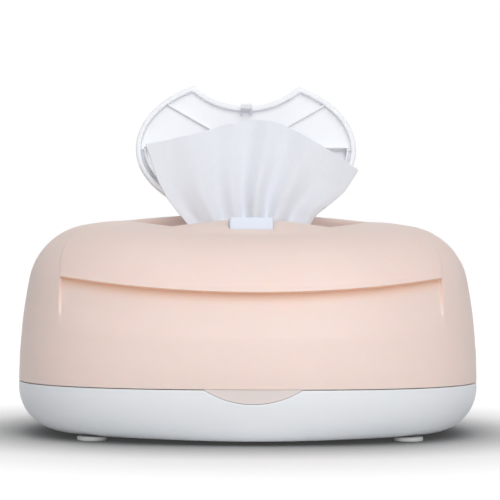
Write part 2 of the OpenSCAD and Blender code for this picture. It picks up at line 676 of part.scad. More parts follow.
liner_t = 1.8;
liner_in = 9;
liner_corner = 20;
liner_z = floor_z - floor_t;
liner_foot = gasket_z + gasket_t + 0.3;
liner_hole_a = hole_a + 7;
liner_hole_b = hole_b + 7;
function liner_ring(inset, z) = body_ring(liner_in + inset, z);
liner_rings = concat(
    [body_ring(lid_wall + 0.6, liner_foot), body_ring(lid_wall + 0.6, liner_foot + 2), liner_ring(0, liner_foot + 2)],
    [for (a = [0, 30, 60, 90])
        liner_ring(2 + liner_corner * (1 - cos(a)), liner_z - liner_corner * (1 - sin(a)))],
    [plain_ring(liner_hole_a, liner_hole_b - dish_y, liner_hole_b + dish_y, 2, dish_y, liner_z),
     plain_ring(liner_hole_a, liner_hole_b - dish_y, liner_hole_b + dish_y, 2, dish_y, liner_z - liner_t)],
    [for (a = [90, 60, 30, 0])
        liner_ring(2 + liner_corner - (liner_corner - liner_t) * cos(a),
            liner_z - liner_corner + (liner_corner - liner_t) * sin(a))],
    [liner_ring(liner_t, liner_foot)]);
seat_r = 2;
spring_z = liner_z;
// The seat holds the button's spring and stops the button at the end of its travel
seat_top = button_top - button_h - button_flange - button_travel - fit_clear;
module lid_liner() {
    color(white) difference() {
        union() {
            ring_solid(liner_rings);
            translate([0, -button_y, liner_z - 0.5]) cylinder(r = seat_r, h = seat_top - liner_z + 0.5, $fn = 32);
        }
        at_lid_bosses() translate([0, 0, -liner_t - 1]) cylinder(r = screw_r + 0.2, h = liner_t + 2, $fn = 24);
    }
}
module liner_screws() {
    color(steel) at_lid_bosses() {
        translate([0, 0, -liner_t - 1.8]) cylinder(r = head_r, h = 1.8, $fn = 32);
        translate([0, 0, -liner_t - 0.5]) cylinder(r = screw_r - pin_clear, h = liner_t + boss_h - 2, $fn = 24);
    }
}

seal_lip = 2.6;
seal_n = 40;
function seal_ring(a, b, power, z) = plain_ring(a, b - dish_y, b + dish_y, power, dish_y, z, seal_n);
module orifice_seal() {
    low = floor_z - floor_t;
    neck = 0.4;
    color([0.86, 0.88, 0.90]) ring_solid([
        seal_ring(hole_a - neck, hole_b - neck, 2, floor_z), seal_ring(hole_a + seal_lip, hole_b + seal_lip, 2, floor_z),
        seal_ring(hole_a + seal_lip, hole_b + seal_lip, 2, floor_z + 1.2), seal_ring(hole_a - 4, hole_b - 4, 2, floor_z + 1.2),
        seal_ring(slot_a, slot_b, 4, floor_z), seal_ring(slot_a, slot_b, 4, floor_z - 1),
        seal_ring(hole_a - 4, hole_b - 4, 2, low - 1.2), seal_ring(hole_a + seal_lip, hole_b + seal_lip, 2, low - 1.2),
        seal_ring(hole_a + seal_lip, hole_b + seal_lip, 2, low), seal_ring(hole_a - neck, hole_b - neck, 2, low)]);
}

module flap_hinge_pin() {
    length = 2 * (barrel_half + ear_gap + ear_w) - 0.6;
    color(steel) translate([-length / 2, flap_y, flap_z]) rotate([0, 90, 0])
        cylinder(r = flap_pin_r, h = length, $fn = 24);
}

// Coil of round wire along +Z, with capped ends
function coil_rings(r, wire, pitch, turns, steps, sides) = [for (k = [0:turns * steps])
    let (a = 360 * k / steps, mid = [r * cos(a), r * sin(a), pitch * k / steps])
    [for (i = [0:sides - 1]) let (b = -360 * i / sides)
        mid + wire * [cos(b) * cos(a), cos(b) * sin(a), sin(b)]]];
spring_half = 5.5;
spring_wire = 0.45;
module flap_spring() {
    turns = 6;
    pitch = (2 * spring_half - 2 * spring_wire - 0.8) / turns;
    color(steel) translate([-spring_half + spring_wire + 0.4, flap_y, flap_z]) rotate([0, 90, 0])
        ring_solid(coil_rings(flap_pin_r + 0.35 + spring_wire, spring_wire, pitch, turns, 14, 6), false);
}
module button_spring() {
    wire = 0.4;
    turns = 5;
    span = button_low - button_flange - spring_z - 2 * wire - 0.2;
    color(steel) translate([0, -button_y, spring_z + wire + 0.1])
        ring_solid(coil_rings(seat_r + 0.3 + wire, wire, span / turns, turns, 14, 6), false);
}
catch_w = 8;
catch_reach = 9.5;
module latch_button() {
    color(cool_white) translate([0, -button_y, 0]) {
        translate([0, 0, button_low]) rounded_plate(button_w, button_d, button_top - button_low, 1.2);
        translate([0, 0, button_low - button_flange]) rounded_plate(button_w + 4, button_d + 3, button_flange, 1.5);
        translate([-catch_w / 2, button_d / 2, button_low - button_flange]) cube([catch_w, catch_reach, button_flange]);
    }
}

// Flap, drawn shut about its hinge axis
flap_in = rim_r + flap_gap;
flap_rear = dish_rear - 5.8;
flap_top = 1.6;
function flap_outline(inset) = [for (j = [0:station_n - 1])
    let (p = opening_point(j, flap_in + inset, flap_rear)) [p.x, p.y - flap_y]];
module flap_wall(inset, width, low, high) {
    translate([0, 0, low]) linear_extrude(high - low) difference() {
        polygon(flap_outline(inset));
        polygon(flap_outline(inset + width));
    }
}
rib_low = flap_top - flap_rim_h;
rib_ring_r = 12;
flap_middle = dish_y - flap_y;
module flap_ribs() {
    translate([0, 0, rib_low]) linear_extrude(flap_top - rib_low - 0.4) intersection() {
        polygon(flap_outline(flap_rim_w / 2));
        translate([0, flap_middle]) difference() {
            union() {
                circle(rib_ring_r, $fn = 60);
                for (a = [0, 30, 150, 180]) rotate(-a) translate([0, -rib_t / 2]) square([dish_a, rib_t]);
            }
            circle(rib_ring_r - rib_t, $fn = 60);
        }
    }
}
// Inner wall along the half of the rim that is nearer to the hinge
module inner_wall() {
    intersection() {
        flap_wall(inner_wall_in, rib_t, -inner_wall_h, flap_top - 0.4);
        translate([-dish_a, flap_middle - rib_t / 2, -inner_wall_h - 1]) cube([2 * dish_a, dish_rear, inner_wall_h + 4]);
    }
}
module flap_hook() {
    tip = sqrt(pow(tongue_gap_r(), 2) - hook_h * hook_h);
    arm = 1.6;
    translate([-hook_w / 2, -tip + 1, -hook_h]) cube([hook_w, arm, hook_h]);
    translate([-hook_w / 2, -tip, -hook_h]) cube([hook_w, arm, 1.6]);
    for (s = [-1, 1]) translate([s * (hook_w / 2 - 0.5), -tip + 1 + arm, 0]) rotate([0, 90, 0])
        linear_extrude(1, center = true) polygon([[0, -0.4], [hook_h - 2, -0.4], [0, 4.5]]);
}
function tongue_gap_r() = flap_y + tongue_y - tongue_r - rim_r - 0.4;
module flap_shut() {
    difference() {
        union() {
            translate([0, 0, flap_top - flap_t]) linear_extrude(flap_t) polygon(flap_outline(0));
            flap_wall(0, flap_rim_w, flap_top - flap_rim_h, flap_top - 0.4);
            inner_wall();
            flap_ribs();
            flap_hook();
            for (s = [-1, 1]) translate([s > 0 ? spring_half + 0.4 : -barrel_half, 0, 0]) {
                width = barrel_half - spring_half - 0.4;
                rotate([0, 90, 0]) cylinder(r = barrel_r, h = width, $fn = 40);
                translate([0, -9, flap_top - flap_t]) cube([width, 9, flap_t]);
            }
        }
        translate([-body_half / 2, 0, 0]) rotate([0, 90, 0])
            cylinder(r = flap_pin_r + pin_clear, h = body_half, $fn = 24);
    }
}
module flap() {
    color(cool_white) translate([0, flap_y, flap_z]) rotate([shut_fall - flap_swing, 0, 0]) flap_shut();
}

// Wipe that stands out of the slot as a fan
wipe_low = floor_z - 2.4;
wipe_t = 1.6;
wipe_cols = 12;
wipe_rows = 9;
wipe_neck = slot_a - 2.5;
wipe_reach = [57, 61];
wipe_rise = [62, 54];
wipe_heights = [158, 172, 147];
wipe_wave = 4;
function wipe_left(z) = mix(wipe_neck, wipe_reach[0], pow(smooth((z - wipe_low) / wipe_rise[0]), 0.8));
function wipe_right(z) = mix(wipe_neck, wipe_reach[1], pow(smooth((z - wipe_low) / wipe_rise[1]), 0.9));
function wipe_top(u) = u < 0.5 ? mix(wipe_heights[0], wipe_heights[1], smooth(u * 2))
    : mix(wipe_heights[1], wipe_heights[2], smooth(u * 2 - 1));
function wipe_point(u, v, side) =
    let (z = mix(wipe_low, wipe_top(u), v), x = mix(-wipe_left(z), wipe_right(z), u),
        open = smooth((z - floor_z - 2) / 25))
    [x, dish_y + open * wipe_wave * (sin(720 * u + 40) - v) + side * wipe_t / 2, z];
function wipe_loop(v) = concat(
    [for (i = [0:wipe_cols]) wipe_point(i / wipe_cols, v, -1)],
    [for (i = [wipe_cols:-1:0]) wipe_point(i / wipe_cols, v, 1)]);
module wipe_sheet() {
    color([0.94, 0.95, 0.96]) sheet_solid([for (k = [0:wipe_rows]) wipe_loop(k / wipe_rows)]);
}

base_shell();
foot_at(-1, -1);  // foot_front_left
foot_at(1, -1);  // foot_front_right
foot_at(-1, 1);  // foot_rear_left
foot_at(1, 1);  // foot_rear_right
inner_tub();
tub_screws();
heat_spreader();
heating_film();
insulation_pad();
thermostat();
thermal_fuse();
heater_wires();
control_board();
dc_inlet();
rim_gasket();
wipe_stack();
lid_hinge_pins();
lid_shell();
thumb_tab();
lid_liner();
liner_screws();
orifice_seal();
flap_hinge_pin();
flap_spring();
button_spring();
wipe_sheet();
flap();
latch_button();
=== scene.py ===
import math
import bpy
import numpy as np
from mathutils import Matrix, Vector


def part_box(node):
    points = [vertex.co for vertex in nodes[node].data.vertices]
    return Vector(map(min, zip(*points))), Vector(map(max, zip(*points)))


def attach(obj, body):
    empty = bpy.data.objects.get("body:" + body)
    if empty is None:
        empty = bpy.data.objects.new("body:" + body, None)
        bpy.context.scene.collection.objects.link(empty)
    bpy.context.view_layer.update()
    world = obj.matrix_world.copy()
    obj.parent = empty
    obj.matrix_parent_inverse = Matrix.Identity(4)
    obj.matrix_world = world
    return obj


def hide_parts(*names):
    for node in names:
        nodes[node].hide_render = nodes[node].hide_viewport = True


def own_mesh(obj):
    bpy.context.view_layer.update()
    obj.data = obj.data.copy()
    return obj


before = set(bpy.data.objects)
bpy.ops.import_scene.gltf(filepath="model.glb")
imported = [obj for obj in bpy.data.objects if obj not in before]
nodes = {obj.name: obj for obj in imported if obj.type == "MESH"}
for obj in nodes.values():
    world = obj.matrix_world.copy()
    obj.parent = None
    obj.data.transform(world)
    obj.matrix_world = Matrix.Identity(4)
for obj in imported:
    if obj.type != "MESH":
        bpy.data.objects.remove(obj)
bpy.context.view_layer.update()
mm = 0.001
print("frame loaded")

# Sizes in millimetres. The plan, shoulders, rim and hump are fitted to the photo, closer than the part's source
body = dict(half=125.0, front=91.5, rear=85.1, top=119.0, seam=29.0, gap=0.4, planPower=2.45, topPower=2.35)
lid = dict(wall=2.5, topLean=13.0, sideFall=3.2, frontFall=9.5, rearRise=1.6, heightPower=1.6, lipZ=78.6,
           lipSideZ=89.0, lipRearZ=96.5, lipHalf=104.6, lipEdge=1.0, scoopDepth=5.0, scoopFootZ=54.0,
           bandStep=0.5)
dish = dict(a=67.5, front=46.2, rear=50.0, rearPower=3.0, y=2.7, rim=3.0, floor=99.0, floorT=2.2,
            holeA=38.0, holeB=21.0)
tongue = dict(r=40.6, y=67.2, hump=5.2, humpPower=2.8, share=0.6)
grid = dict(band=20, rest=46, step=1.2, bandEnd=30.0)
lidZ = body["seam"] + body["gap"] / 2
baseZ = body["seam"] - body["gap"] / 2
tubMid = (body["rear"] - body["front"]) / 2
lidHinge = dict(y=body["rear"] + 3.4, z=body["seam"], r=3.0, x=34.0, inner=14.0, outer=8.0, apart=11.5)
flapHinge = dict(y=dish["y"] + dish["rear"] - dish["rim"] - 4.5, z=body["top"] - 3.5, r=2.8, bore=1.05,
                 half=23.6, inner=5.9)


def mix(a, b, w):
    return a * (1 - w) + b * w


def smooth(q):
    c = np.clip(q, 0, 1)
    return c * c * (3 - 2 * c)


def sind(t):
    return np.sin(np.radians(t))


def cosd(t):
    return np.cos(np.radians(t))


# A guide is a profile of the lid: the wall's reach and lean, the shoulder's radius r, the rim's reach and top,
# and the height of the lip's line
sideGuide = dict(reach=body["half"], lean=11.0, r=36.5, rim=dish["a"], top=body["top"] - lid["sideFall"],
                 lip=lid["lipSideZ"])
frontGuide = dict(reach=body["front"], lean=8.0, r=41.5, rim=dish["front"] - dish["y"],
                  top=body["top"] - lid["frontFall"], lip=lid["lipZ"])
rearGuide = dict(reach=body["rear"], lean=8.0, r=29.0, rim=dish["rear"] + dish["y"],
                 top=body["top"] + lid["rearRise"], lip=lid["lipRearZ"])
riseShare = math.tan(math.radians(lid["topLean"])) / 2


def leanShare(g):
    return math.tan(math.radians(g["lean"])) / 2


def arcStart(g):
    arc = g["r"] * (cosd(g["lean"]) - sind(lid["topLean"]))
    reach = g["reach"] + leanShare(g) * body["seam"] - arc - g["rim"]
    height = g["top"] - g["r"] * (cosd(lid["topLean"]) - sind(g["lean"])) - riseShare * reach
    return height / (1 - riseShare * leanShare(g))


def wallReach(g, z):
    return g["reach"] - leanShare(g) * max(0.0, z - body["seam"]) ** 2 / (arcStart(g) - body["seam"])


def onArc(g, turn, inset):
    z = arcStart(g)
    hub = wallReach(g, z) - g["r"] * cosd(g["lean"])
    return hub + (g["r"] - inset) * cosd(turn), z - g["r"] * sind(g["lean"]) + (g["r"] - inset) * sind(turn)


def guidePoint(g, v, inset):
    start = arcStart(g)
    if v > 1:
        rise = max(sind(g["lean"]), sind(g["lean"]) + (g["lip"] - start) / g["r"])
        lip = math.degrees(math.asin(min(0.9, rise)))
        reach, z = onArc(g, mix(lip, 90 - lid["topLean"], v - 1), inset)
        return reach, z - max(0.0, start - g["lip"]) * (2 - v)
    z = mix(lidZ, g["lip"], v)
    if z < start:
        share = max(0.0, z - body["seam"]) / (start - body["seam"])
        turn = math.degrees(math.atan(2 * leanShare(g) * share))
        if v == 0:
            return wallReach(g, z) - inset, z
        return wallReach(g, z) - inset * cosd(turn), z - inset * sind(turn)
    return onArc(g, math.degrees(math.asin(sind(g["lean"]) + (z - start) / g["r"])), inset)


creaseReach = lid["lipHalf"] / body["half"] * guidePoint(sideGuide, 1.0, 0)[0]


def creaseAt(v):
    share = creaseReach / guidePoint(sideGuide, min(v, 1.0), 0)[0]
    angle = math.degrees(math.acos(share ** (body["planPower"] / 2)))
    return angle * (1 - 0.45 * min(1.0, max(0.0, v - 1)))


def stationAngle(j, crease):
    band = -180 + crease + j * (180 - 2 * crease) / grid["band"]
    rest = grid["step"] - crease + (j - grid["band"] - 1) * (180 + 2 * crease - 2 * grid["step"]) / grid["rest"]
    return np.where(j <= grid["band"], band, rest)


def outlinePoint(t, a, front, rear, power, mid):
    e = 2 / power
    c, s = cosd(t), sind(t)
    x = np.sign(c) * a * np.abs(c) ** e
    y = mid + np.sign(s) * np.where(s < 0, front + mid, rear - mid) * np.abs(s) ** e
    return x, y


# Stations round the lid: the band across the front, then the way round the sides and the rear
fine = 8
bandStations = np.linspace(0, grid["band"], grid["band"] * fine + 1)
restStations = grid["band"] + 1 + np.linspace(0, grid["rest"], grid["rest"] * (fine - 1) + 1)
stations = np.concatenate([bandStations, restStations])
inBand = stations <= grid["band"]
place = 2 * stations / grid["band"] - 1
scoopFoot = (lid["scoopFootZ"] - lidZ) / (lid["lipZ"] - lidZ)
lipUnder = 1 - lid["lipEdge"] / (lid["lipZ"] - lidZ)


def scoopAt(v):
    depth = lid["scoopDepth"] * smooth((v - scoopFoot) / (lipUnder - scoopFoot)) ** 0.8
    return np.where(inBand, depth * (1 - 0.35 * place ** 4), 0.0)


def bandRaise(v):
    flare = 0.45 * (1 - smooth((v - 1) / 0.06))
    return np.where(inBand & (v >= 1), lid["bandStep"] * (1 - smooth((v - 1.5) / 0.5)) + flare, 0.0)


def shellRing(v, inset, dent):
    t = stationAngle(stations, creaseAt(v))
    points = []
    for shift in np.unique(inset):
        side, front, rear = [guidePoint(g, v, shift) for g in (sideGuide, frontGuide, rearGuide)]
        power = mix(body["planPower"], body["topPower"], smooth(v - 1))
        x, y = outlinePoint(t, side[0], front[0], rear[0], power, 0)
        ends = np.where(sind(t) < 0, front[1], rear[1])
        z = mix(ends, side[1], np.abs(cosd(t)) ** lid["heightPower"])
        points.append((shift, np.stack([x, y + dent, z], 1)))
    ring = points[0][1]
    for shift, other in points[1:]:
        ring = np.where((np.broadcast_to(inset, t.shape) == shift)[:, None], other, ring)
    return ring


def tongueEdge(x, inset):
    return np.sqrt((tongue["r"] + inset) ** 2 - x * x) - tongue["y"]


def cornerX(inset):
    low, high = 10.0, 38.0
    for _ in range(30):
        middle = (low + high) / 2
        front = dish["y"] - (dish["front"] - inset) * math.sqrt(1 - (middle / (dish["a"] - inset)) ** 2)
        low, high = (middle, high) if tongueEdge(middle, inset) > front else (low, middle)
    return (low + high) / 2


onTongue = inBand & (np.abs(place) < tongue["share"] + 0.001)


def openingAngle(inset):
    far = math.degrees(math.acos(cornerX(inset) / (dish["a"] - inset)))
    t = mix(far, grid["bandEnd"], (np.abs(place) - tongue["share"]) / (1 - tongue["share"]))
    return np.where(inBand, np.where(place < 0, t - 180, -t), stationAngle(stations, grid["bandEnd"]))


def ellipsePoint(t, inset, rear):
    power = np.where((sind(t) > 0) & (rear == dish["rear"]), dish["rearPower"], 2.0)
    return outlinePoint(t, dish["a"] - inset, dish["front"] - inset - dish["y"], rear - inset + dish["y"],
                        power, dish["y"])


def openingPoint(inset, rear):
    corner = cornerX(inset)
    x, y = ellipsePoint(openingAngle(inset), inset, rear)
    tongueX = corner * place / tongue["share"]
    edge = tongueEdge(np.clip(tongueX, -corner, corner), inset)
    return np.where(onTongue, tongueX, x), np.where(onTongue, edge, y)


def rimHeightAt(t):
    ends = np.where(sind(t) < 0, frontGuide["top"], rearGuide["top"])
    return mix(ends, sideGuide["top"], np.abs(cosd(t)) ** lid["heightPower"])


cornerAngle = -math.degrees(math.acos(cornerX(0) / dish["a"]))
humpShape = 1 - np.abs(np.clip(place / tongue["share"], -1, 1)) ** tongue["humpPower"]
rimHeight = np.where(onTongue, rimHeightAt(cornerAngle) + tongue["hump"] * humpShape,
                     rimHeightAt(openingAngle(0)))


def flat(xy, z):
    return np.stack([xy[0], xy[1], np.broadcast_to(z, xy[0].shape)], 1)


def topRing(w, inset):
    a = shellRing(2.0, inset, 0.0)
    p = flat(openingPoint(-inset * 0.6, dish["rear"]), rimHeight - inset)
    ring = mix(a, p, w)
    ring[:, 2] = mix(a[:, 2], p[:, 2], w * (2 - w))
    return ring


def outerRing(v):
    return shellRing(v, -bandRaise(v), scoopAt(v) if v < 1 else 0.0)


def innerRing(v):
    return shellRing(v, lid["wall"], scoopAt(v) * (1 - smooth((v - 1) / 0.25)))


def openingRing(inset, drop):
    return flat(openingPoint(inset, dish["rear"]), rimHeight - drop)


def levelRing(inset, z):
    return flat(openingPoint(inset, dish["rear"]), z)


def holeRing(a, b, z):
    s = np.where(onTongue, -90 + place / tongue["share"] * (90 + cornerAngle), openingAngle(0))
    return flat((a * cosd(s), dish["y"] + b * sind(s)), z)


# Meshes
def smoothed(mesh, sharp):
    mesh.polygons.foreach_set("use_smooth", [True] * len(mesh.polygons))
    mesh.set_sharp_from_angle(angle=math.radians(sharp))


def newObject(name, vertices, faces, sharp=35.0):
    mesh = bpy.data.meshes.new(name)
    mesh.from_pydata([tuple(p) for p in np.asarray(vertices) * mm], [], faces)
    mesh.validate()
    smoothed(mesh, sharp)
    made = bpy.data.objects.new(name, mesh)
    bpy.context.scene.collection.objects.link(made)
    return made


def loftData(rings, wrap=False):
    n, count = len(rings[0]), len(rings)
    faces = []
    for k in range(count if wrap else count - 1):
        m = (k + 1) % count
        faces += [(k * n + j, k * n + (j + 1) % n, m * n + (j + 1) % n, m * n + j) for j in range(n)]
    if not wrap:
        faces += [tuple(range(n - 1, -1, -1)), tuple(range((count - 1) * n, count * n))]
    return np.concatenate(rings), faces


def joined(name, parts, sharp=35.0):
    vertices, faces, start = [], [], 0
    for v, f in parts:
        vertices.append(np.asarray(v, float))
        faces += [tuple(i + start for i in face) for face in f]
        start += len(v)
    return newObject(name, np.concatenate(vertices), faces, sharp)


def turned(data, matrix):
    v = np.asarray(data[0])
    m = np.array(matrix)
    return v @ m[:3, :3].T + m[:3, 3], data[1]


def moved(data, x=0.0, y=0.0, z=0.0):
    return turned(data, Matrix.Translation((x, y, z)))


def circle(r, x, y, z, sides):
    t = np.arange(sides) * 2 * math.pi / sides
    return np.stack([x + r * np.cos(t), y + r * np.sin(t), np.full(sides, z)], 1)


def drum(radius, height, edge=0.3, sides=48, hole=0.0):
    profile = [(radius - edge * (1 - cosd(a)), edge * (1 - sind(a))) for a in np.linspace(90, 0, 4)]
    profile += [(r, height - z) for r, z in reversed(profile)]
    if hole:
        profile += [(hole, height), (hole, 0.0)]
    return loftData([circle(r, 0, 0, z, sides) for r, z in profile], wrap=bool(hole))


def alongX(data, x, y, z):
    return turned(data, Matrix.Translation((x, y, z)) @ Matrix.Rotation(math.pi / 2, 4, "Y"))


def roundedOutline(w, d, r, steps=8):
    points = []
    for k, (sx, sy) in enumerate([(1, 1), (-1, 1), (-1, -1), (1, -1)]):
        for a in np.linspace(k * 90, k * 90 + 90, steps):
            points.append((sx * (w / 2 - r) + r * cosd(a), sy * (d / 2 - r) + r * sind(a)))
    return np.array(points)


def slab(w, d, height, r=1.0, edge=0.4):
    profile = [(edge * (1 - cosd(a)), edge * (1 - sind(a))) for a in np.linspace(90, 0, 5)]
    profile += [(edge * (1 - cosd(a)), height - edge * (1 - sind(a))) for a in np.linspace(0, 90, 7)]
    rings = []
    for inset, z in profile:
        p = roundedOutline(w - 2 * inset, d - 2 * inset, max(0.05, r - inset))
        rings.append(np.column_stack([p, np.full(len(p), z)]))
    top = rings[-1]
    middle = top.mean(0)
    for share in (0.75, 0.5, 0.25):
        rings.append(middle + (top - middle) * share)
    return loftData(rings)


def cutAway(target, cutter):
    step = target.modifiers.new("cut", "BOOLEAN")
    step.operation = "DIFFERENCE"
    step.solver = "EXACT"
    step.object = cutter
    bpy.context.view_layer.update()
    result = bpy.data.meshes.new_from_object(target.evaluated_get(bpy.context.evaluated_depsgraph_get()))
    target.modifiers.clear()
    target.data = result
    bpy.data.objects.remove(cutter)
    smoothed(result, 32.0)


def knuckle(x, width, low, high):
    power = body["planPower"]
    root = body["rear"] * (1 - ((abs(x) + width / 2) / body["half"]) ** power) ** (1 / power) - 1
    barrel = alongX(drum(lidHinge["r"], width, 0.4), x - width / 2, lidHinge["y"], lidHinge["z"])
    web = slab(width, lidHinge["y"] - root, high - low, 0.4, 0.3)
    return [barrel, moved(web, x, (root + lidHinge["y"]) / 2, lidHinge["z"] + low)]


# Lid shell
def lidRings():
    rings = [shellRing(0.0, 0.35, 0.0), shellRing(0.004, 0.1, 0.0), outerRing(0.012), outerRing(0.25)]
    rings += [outerRing(mix(scoopFoot, lipUnder, s)) for s in np.linspace(0, 1, 26)]
    for v, dent in ((0.990, 1.6), (0.9945, 0.5), (0.9962, 0.2), (0.9985, 0.04)):
        rings.append(shellRing(v, -bandRaise(1.0), np.where(inBand, dent, 0.0)))
    rings += [outerRing(v) for v in (1.0, 1.012, 1.024, 1.036, 1.05, 1.07)]
    rings += [outerRing(v) for v in np.linspace(1.1, 2, 22)]
    rings += [topRing(s, 0) for s in np.linspace(0, 1, 11)[1:]]
    rim, floor, under = dish["rim"], dish["floor"], dish["floor"] - dish["floorT"]
    rings += [openingRing(rim * sind(a), rim * (1 - cosd(a))) for a in np.linspace(12, 90, 8)]
    rings += [levelRing(rim + 0.6 * s, floor + 2 + 2 * (1 - s)) for s in (0.5, 1)]
    rings += [levelRing(rim + 0.6 + 1.8 * (1 - cosd(a)), floor + 2 * (1 - sind(a))) for a in (30, 60, 90)]
    rings += [holeRing(dish["holeA"], dish["holeB"], z) for z in (floor, under)]
    rings += [levelRing(rim + 0.2, under), levelRing(rim - 1.6, under + 1.8),
              openingRing(rim - 2.2, rim + lid["wall"])]
    rings += [topRing(w, lid["wall"]) for w in (0.8, 0.4)]
    rings += [innerRing(v) for v in (2, 1.66, 1.33, 1.15, 1.02, 0.9, 0.8, 0.66, scoopFoot, 0)]
    return rings


button = dict(w=23.4, d=14.0, top=117.2, y=43.5, h=9.6, flange=1.6, gap=0.15, arm=9.5)
ear = dict(w=4.5, gap=0.5, r=2.8, post=5.6, brace=4.4)
boss = dict(r=4.0, h=9.0, inset=-2.0, angles=(0, 48, 132, 180, -146, -34))
lidShell = newObject("lid_shell_moulding", *loftData(lidRings(), wrap=True))
holeSlab = slab(button["w"] + 2 * button["gap"], button["d"] + 2 * button["gap"], 20, 1.2)
cutAway(lidShell, newObject("button_hole", *moved(holeSlab, 0, -button["y"], dish["floor"] + 7.5)))
lidParts = []
for s in (-1, 1):
    for k in (-1, 1):
        lidParts += knuckle(s * lidHinge["x"] + k * lidHinge["apart"], lidHinge["outer"], 0.4, 3.0)
    earX = s * (flapHinge["half"] + ear["gap"] + ear["w"] / 2)
    y, low, high = flapHinge["y"], dish["floor"], flapHinge["z"] - dish["floor"]
    lidParts += [alongX(drum(ear["r"], ear["w"], 0.4), earX - ear["w"] / 2, y, flapHinge["z"]),
                 moved(slab(ear["w"], ear["post"], high + 0.8, 0.6, 0.3), earX, y, low - 0.8),
                 moved(slab(ear["w"], ear["brace"], high - 6, 0.6, 0.3), earX, y + 2.2, low + 4)]
for t in boss["angles"]:
    x, y = ellipsePoint(t, boss["inset"], dish["rear"])
    lidParts.append(moved(drum(boss["r"], boss["h"]), x, y, dish["floor"] - dish["floorT"]))
lidFittings = joined("lid_hinge_and_bosses", lidParts)


def paintedShadeShare(points):
    # Painted shade and bounce light: a warm, more saturated tint is painted under the lip, fading over 7.5 mm
    # below it where the lip's shadow falls, and at half strength on the opening's walls, standing in for light
    # bounced inside the peach plastic
    x, y, z = points.T
    lip = outerRing(1.0)[inBand]
    order = np.argsort(lip[:, 0])
    below = np.interp(x, lip[order, 0], lip[order, 2]) - z
    under = smooth((below - 0.1) / 0.4) * np.clip(1 - below / 7.5, 0, 1) ** 1.4
    under = np.where((np.abs(x) < creaseReach) & (y < -20), under, 0.0)
    out = np.hypot(x / (dish["a"] - 1.2), (y - dish["y"]) / (dish["rear"] - 1.2))
    return np.maximum(under, 0.5 * (out < 1) * (y > -18) * (z > dish["floor"] - 1))


# The painted shade and bounce light mask is kept on the lid shell's points for its material
paintedShade = lidShell.data.attributes.new("paintedShade", "FLOAT", "POINT")
places = np.empty(3 * len(lidShell.data.vertices))
lidShell.data.vertices.foreach_get("co", places)
paintedShade.data.foreach_set("value", paintedShadeShare(places.reshape(-1, 3) / mm).astype(np.float32))
for piece in (lidShell, lidFittings):
    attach(piece, "lid")
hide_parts("lid_shell")
print("lid shell made")


# Base, drawn round its outline by polar angle, with the finger notch in its front
base = dict(notchW=51.0, notchH=7.5, arc=24.0, wall=2.4, foot=2.0, frontFill=0.55)
inlet = dict(place=(52, 84, 14), r=4.3, depth=16)
notchR = ((base["notchW"] / 2) ** 2 + base["notchH"] ** 2) / (2 * base["notchH"])
arcZ = base["foot"] + base["arc"]


def polarAngles(count, extra):
    step = np.linspace(-math.pi, math.pi, 2001)
    x, y = polarOutline(step, 0)
    length = np.concatenate([[0], np.cumsum(np.hypot(np.diff(x), np.diff(y)))])
    even = np.interp(np.linspace(0, length[-1], count, endpoint=False), length, step)
    exact = [math.atan2(-body["front"], u) for u in extra]
    return np.unique(np.round(np.concatenate([even, exact]), 6))


def polarOutline(phi, inset):
    a = body["half"] - inset
    b = np.where(np.sin(phi) < 0, body["front"], body["rear"]) - inset
    p = body["planPower"]
    r = (np.abs(np.cos(phi) / a) ** p + np.abs(np.sin(phi) / b) ** p) ** (-1 / p)
    return r * np.cos(phi), r * np.sin(phi)


phi = polarAngles(480, np.linspace(-base["notchW"] / 2, base["notchW"] / 2, 25))


wallX, wallY = polarOutline(phi, 0)
notchCut = body["seam"] - base["notchH"] + notchR - np.sqrt(np.maximum(0, notchR ** 2 - wallX ** 2))
inNotch = (wallY < 0) & (np.abs(wallX) < base["notchW"] / 2)
wallTop = np.where(inNotch, np.minimum(notchCut, baseZ), baseZ)


def bodyRing(inset, z):
    return flat(polarOutline(phi, inset), z)


def wallRing(share, inset=0.0, drop=0.0):
    z = mix(base["foot"], wallTop - drop, share)
    low = np.clip((arcZ - z) / base["arc"], 0, 1)
    dent = base["arc"] * (1 - np.sqrt(1 - low ** 2)) + inset
    return bodyRing(dent * (1 - base["frontFill"] * np.maximum(0, -np.sin(phi)) ** 5), z)


shares = 1 - np.sqrt(1 - np.linspace(0, 0.93, 22) ** 2)
baseRings = [bodyRing(base["arc"] + 12, base["foot"]), bodyRing(base["arc"] + 2, base["foot"])]
baseRings += [wallRing(s) for s in shares[1:]]
baseRings += [wallRing(s) for s in np.linspace(shares[-1], 1, 8)[1:-1]]
rounding = ((0.0, 0.6), (0.12, 0.22), (0.35, 0.04), (0.6, 0.0))
baseRings += [wallRing(1, inset, drop) for inset, drop in rounding]
ledgeTop, ledge = np.minimum(wallTop, baseZ - 2), base["wall"] + 3
baseRings += [bodyRing(base["wall"], wallTop), bodyRing(base["wall"], ledgeTop), bodyRing(ledge, ledgeTop),
              bodyRing(ledge, baseZ - 8)]
innerArc = base["arc"] - base["wall"]
baseRings += [bodyRing(base["arc"] - innerArc * cosd(a), arcZ - innerArc * sind(a))
              for a in np.linspace(15, 90, 9)]
baseShell = newObject("base_shell_moulding", *loftData(baseRings), sharp=40)
baseParts = []
for s in (-1, 1):
    baseParts += knuckle(s * lidHinge["x"], lidHinge["inner"], -3.0, -0.4)
baseFittings = joined("base_hinge_knuckles", baseParts)
inletTurn = Matrix.Translation(inlet["place"]) @ Matrix.Rotation(math.pi / 2, 4, "X")
cutAway(baseShell, newObject("inlet_hole", *turned(drum(inlet["r"], inlet["depth"], 0.01), inletTurn)))
for piece in (baseShell, baseFittings):
    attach(piece, "base")
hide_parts("base_shell")
print("base made")


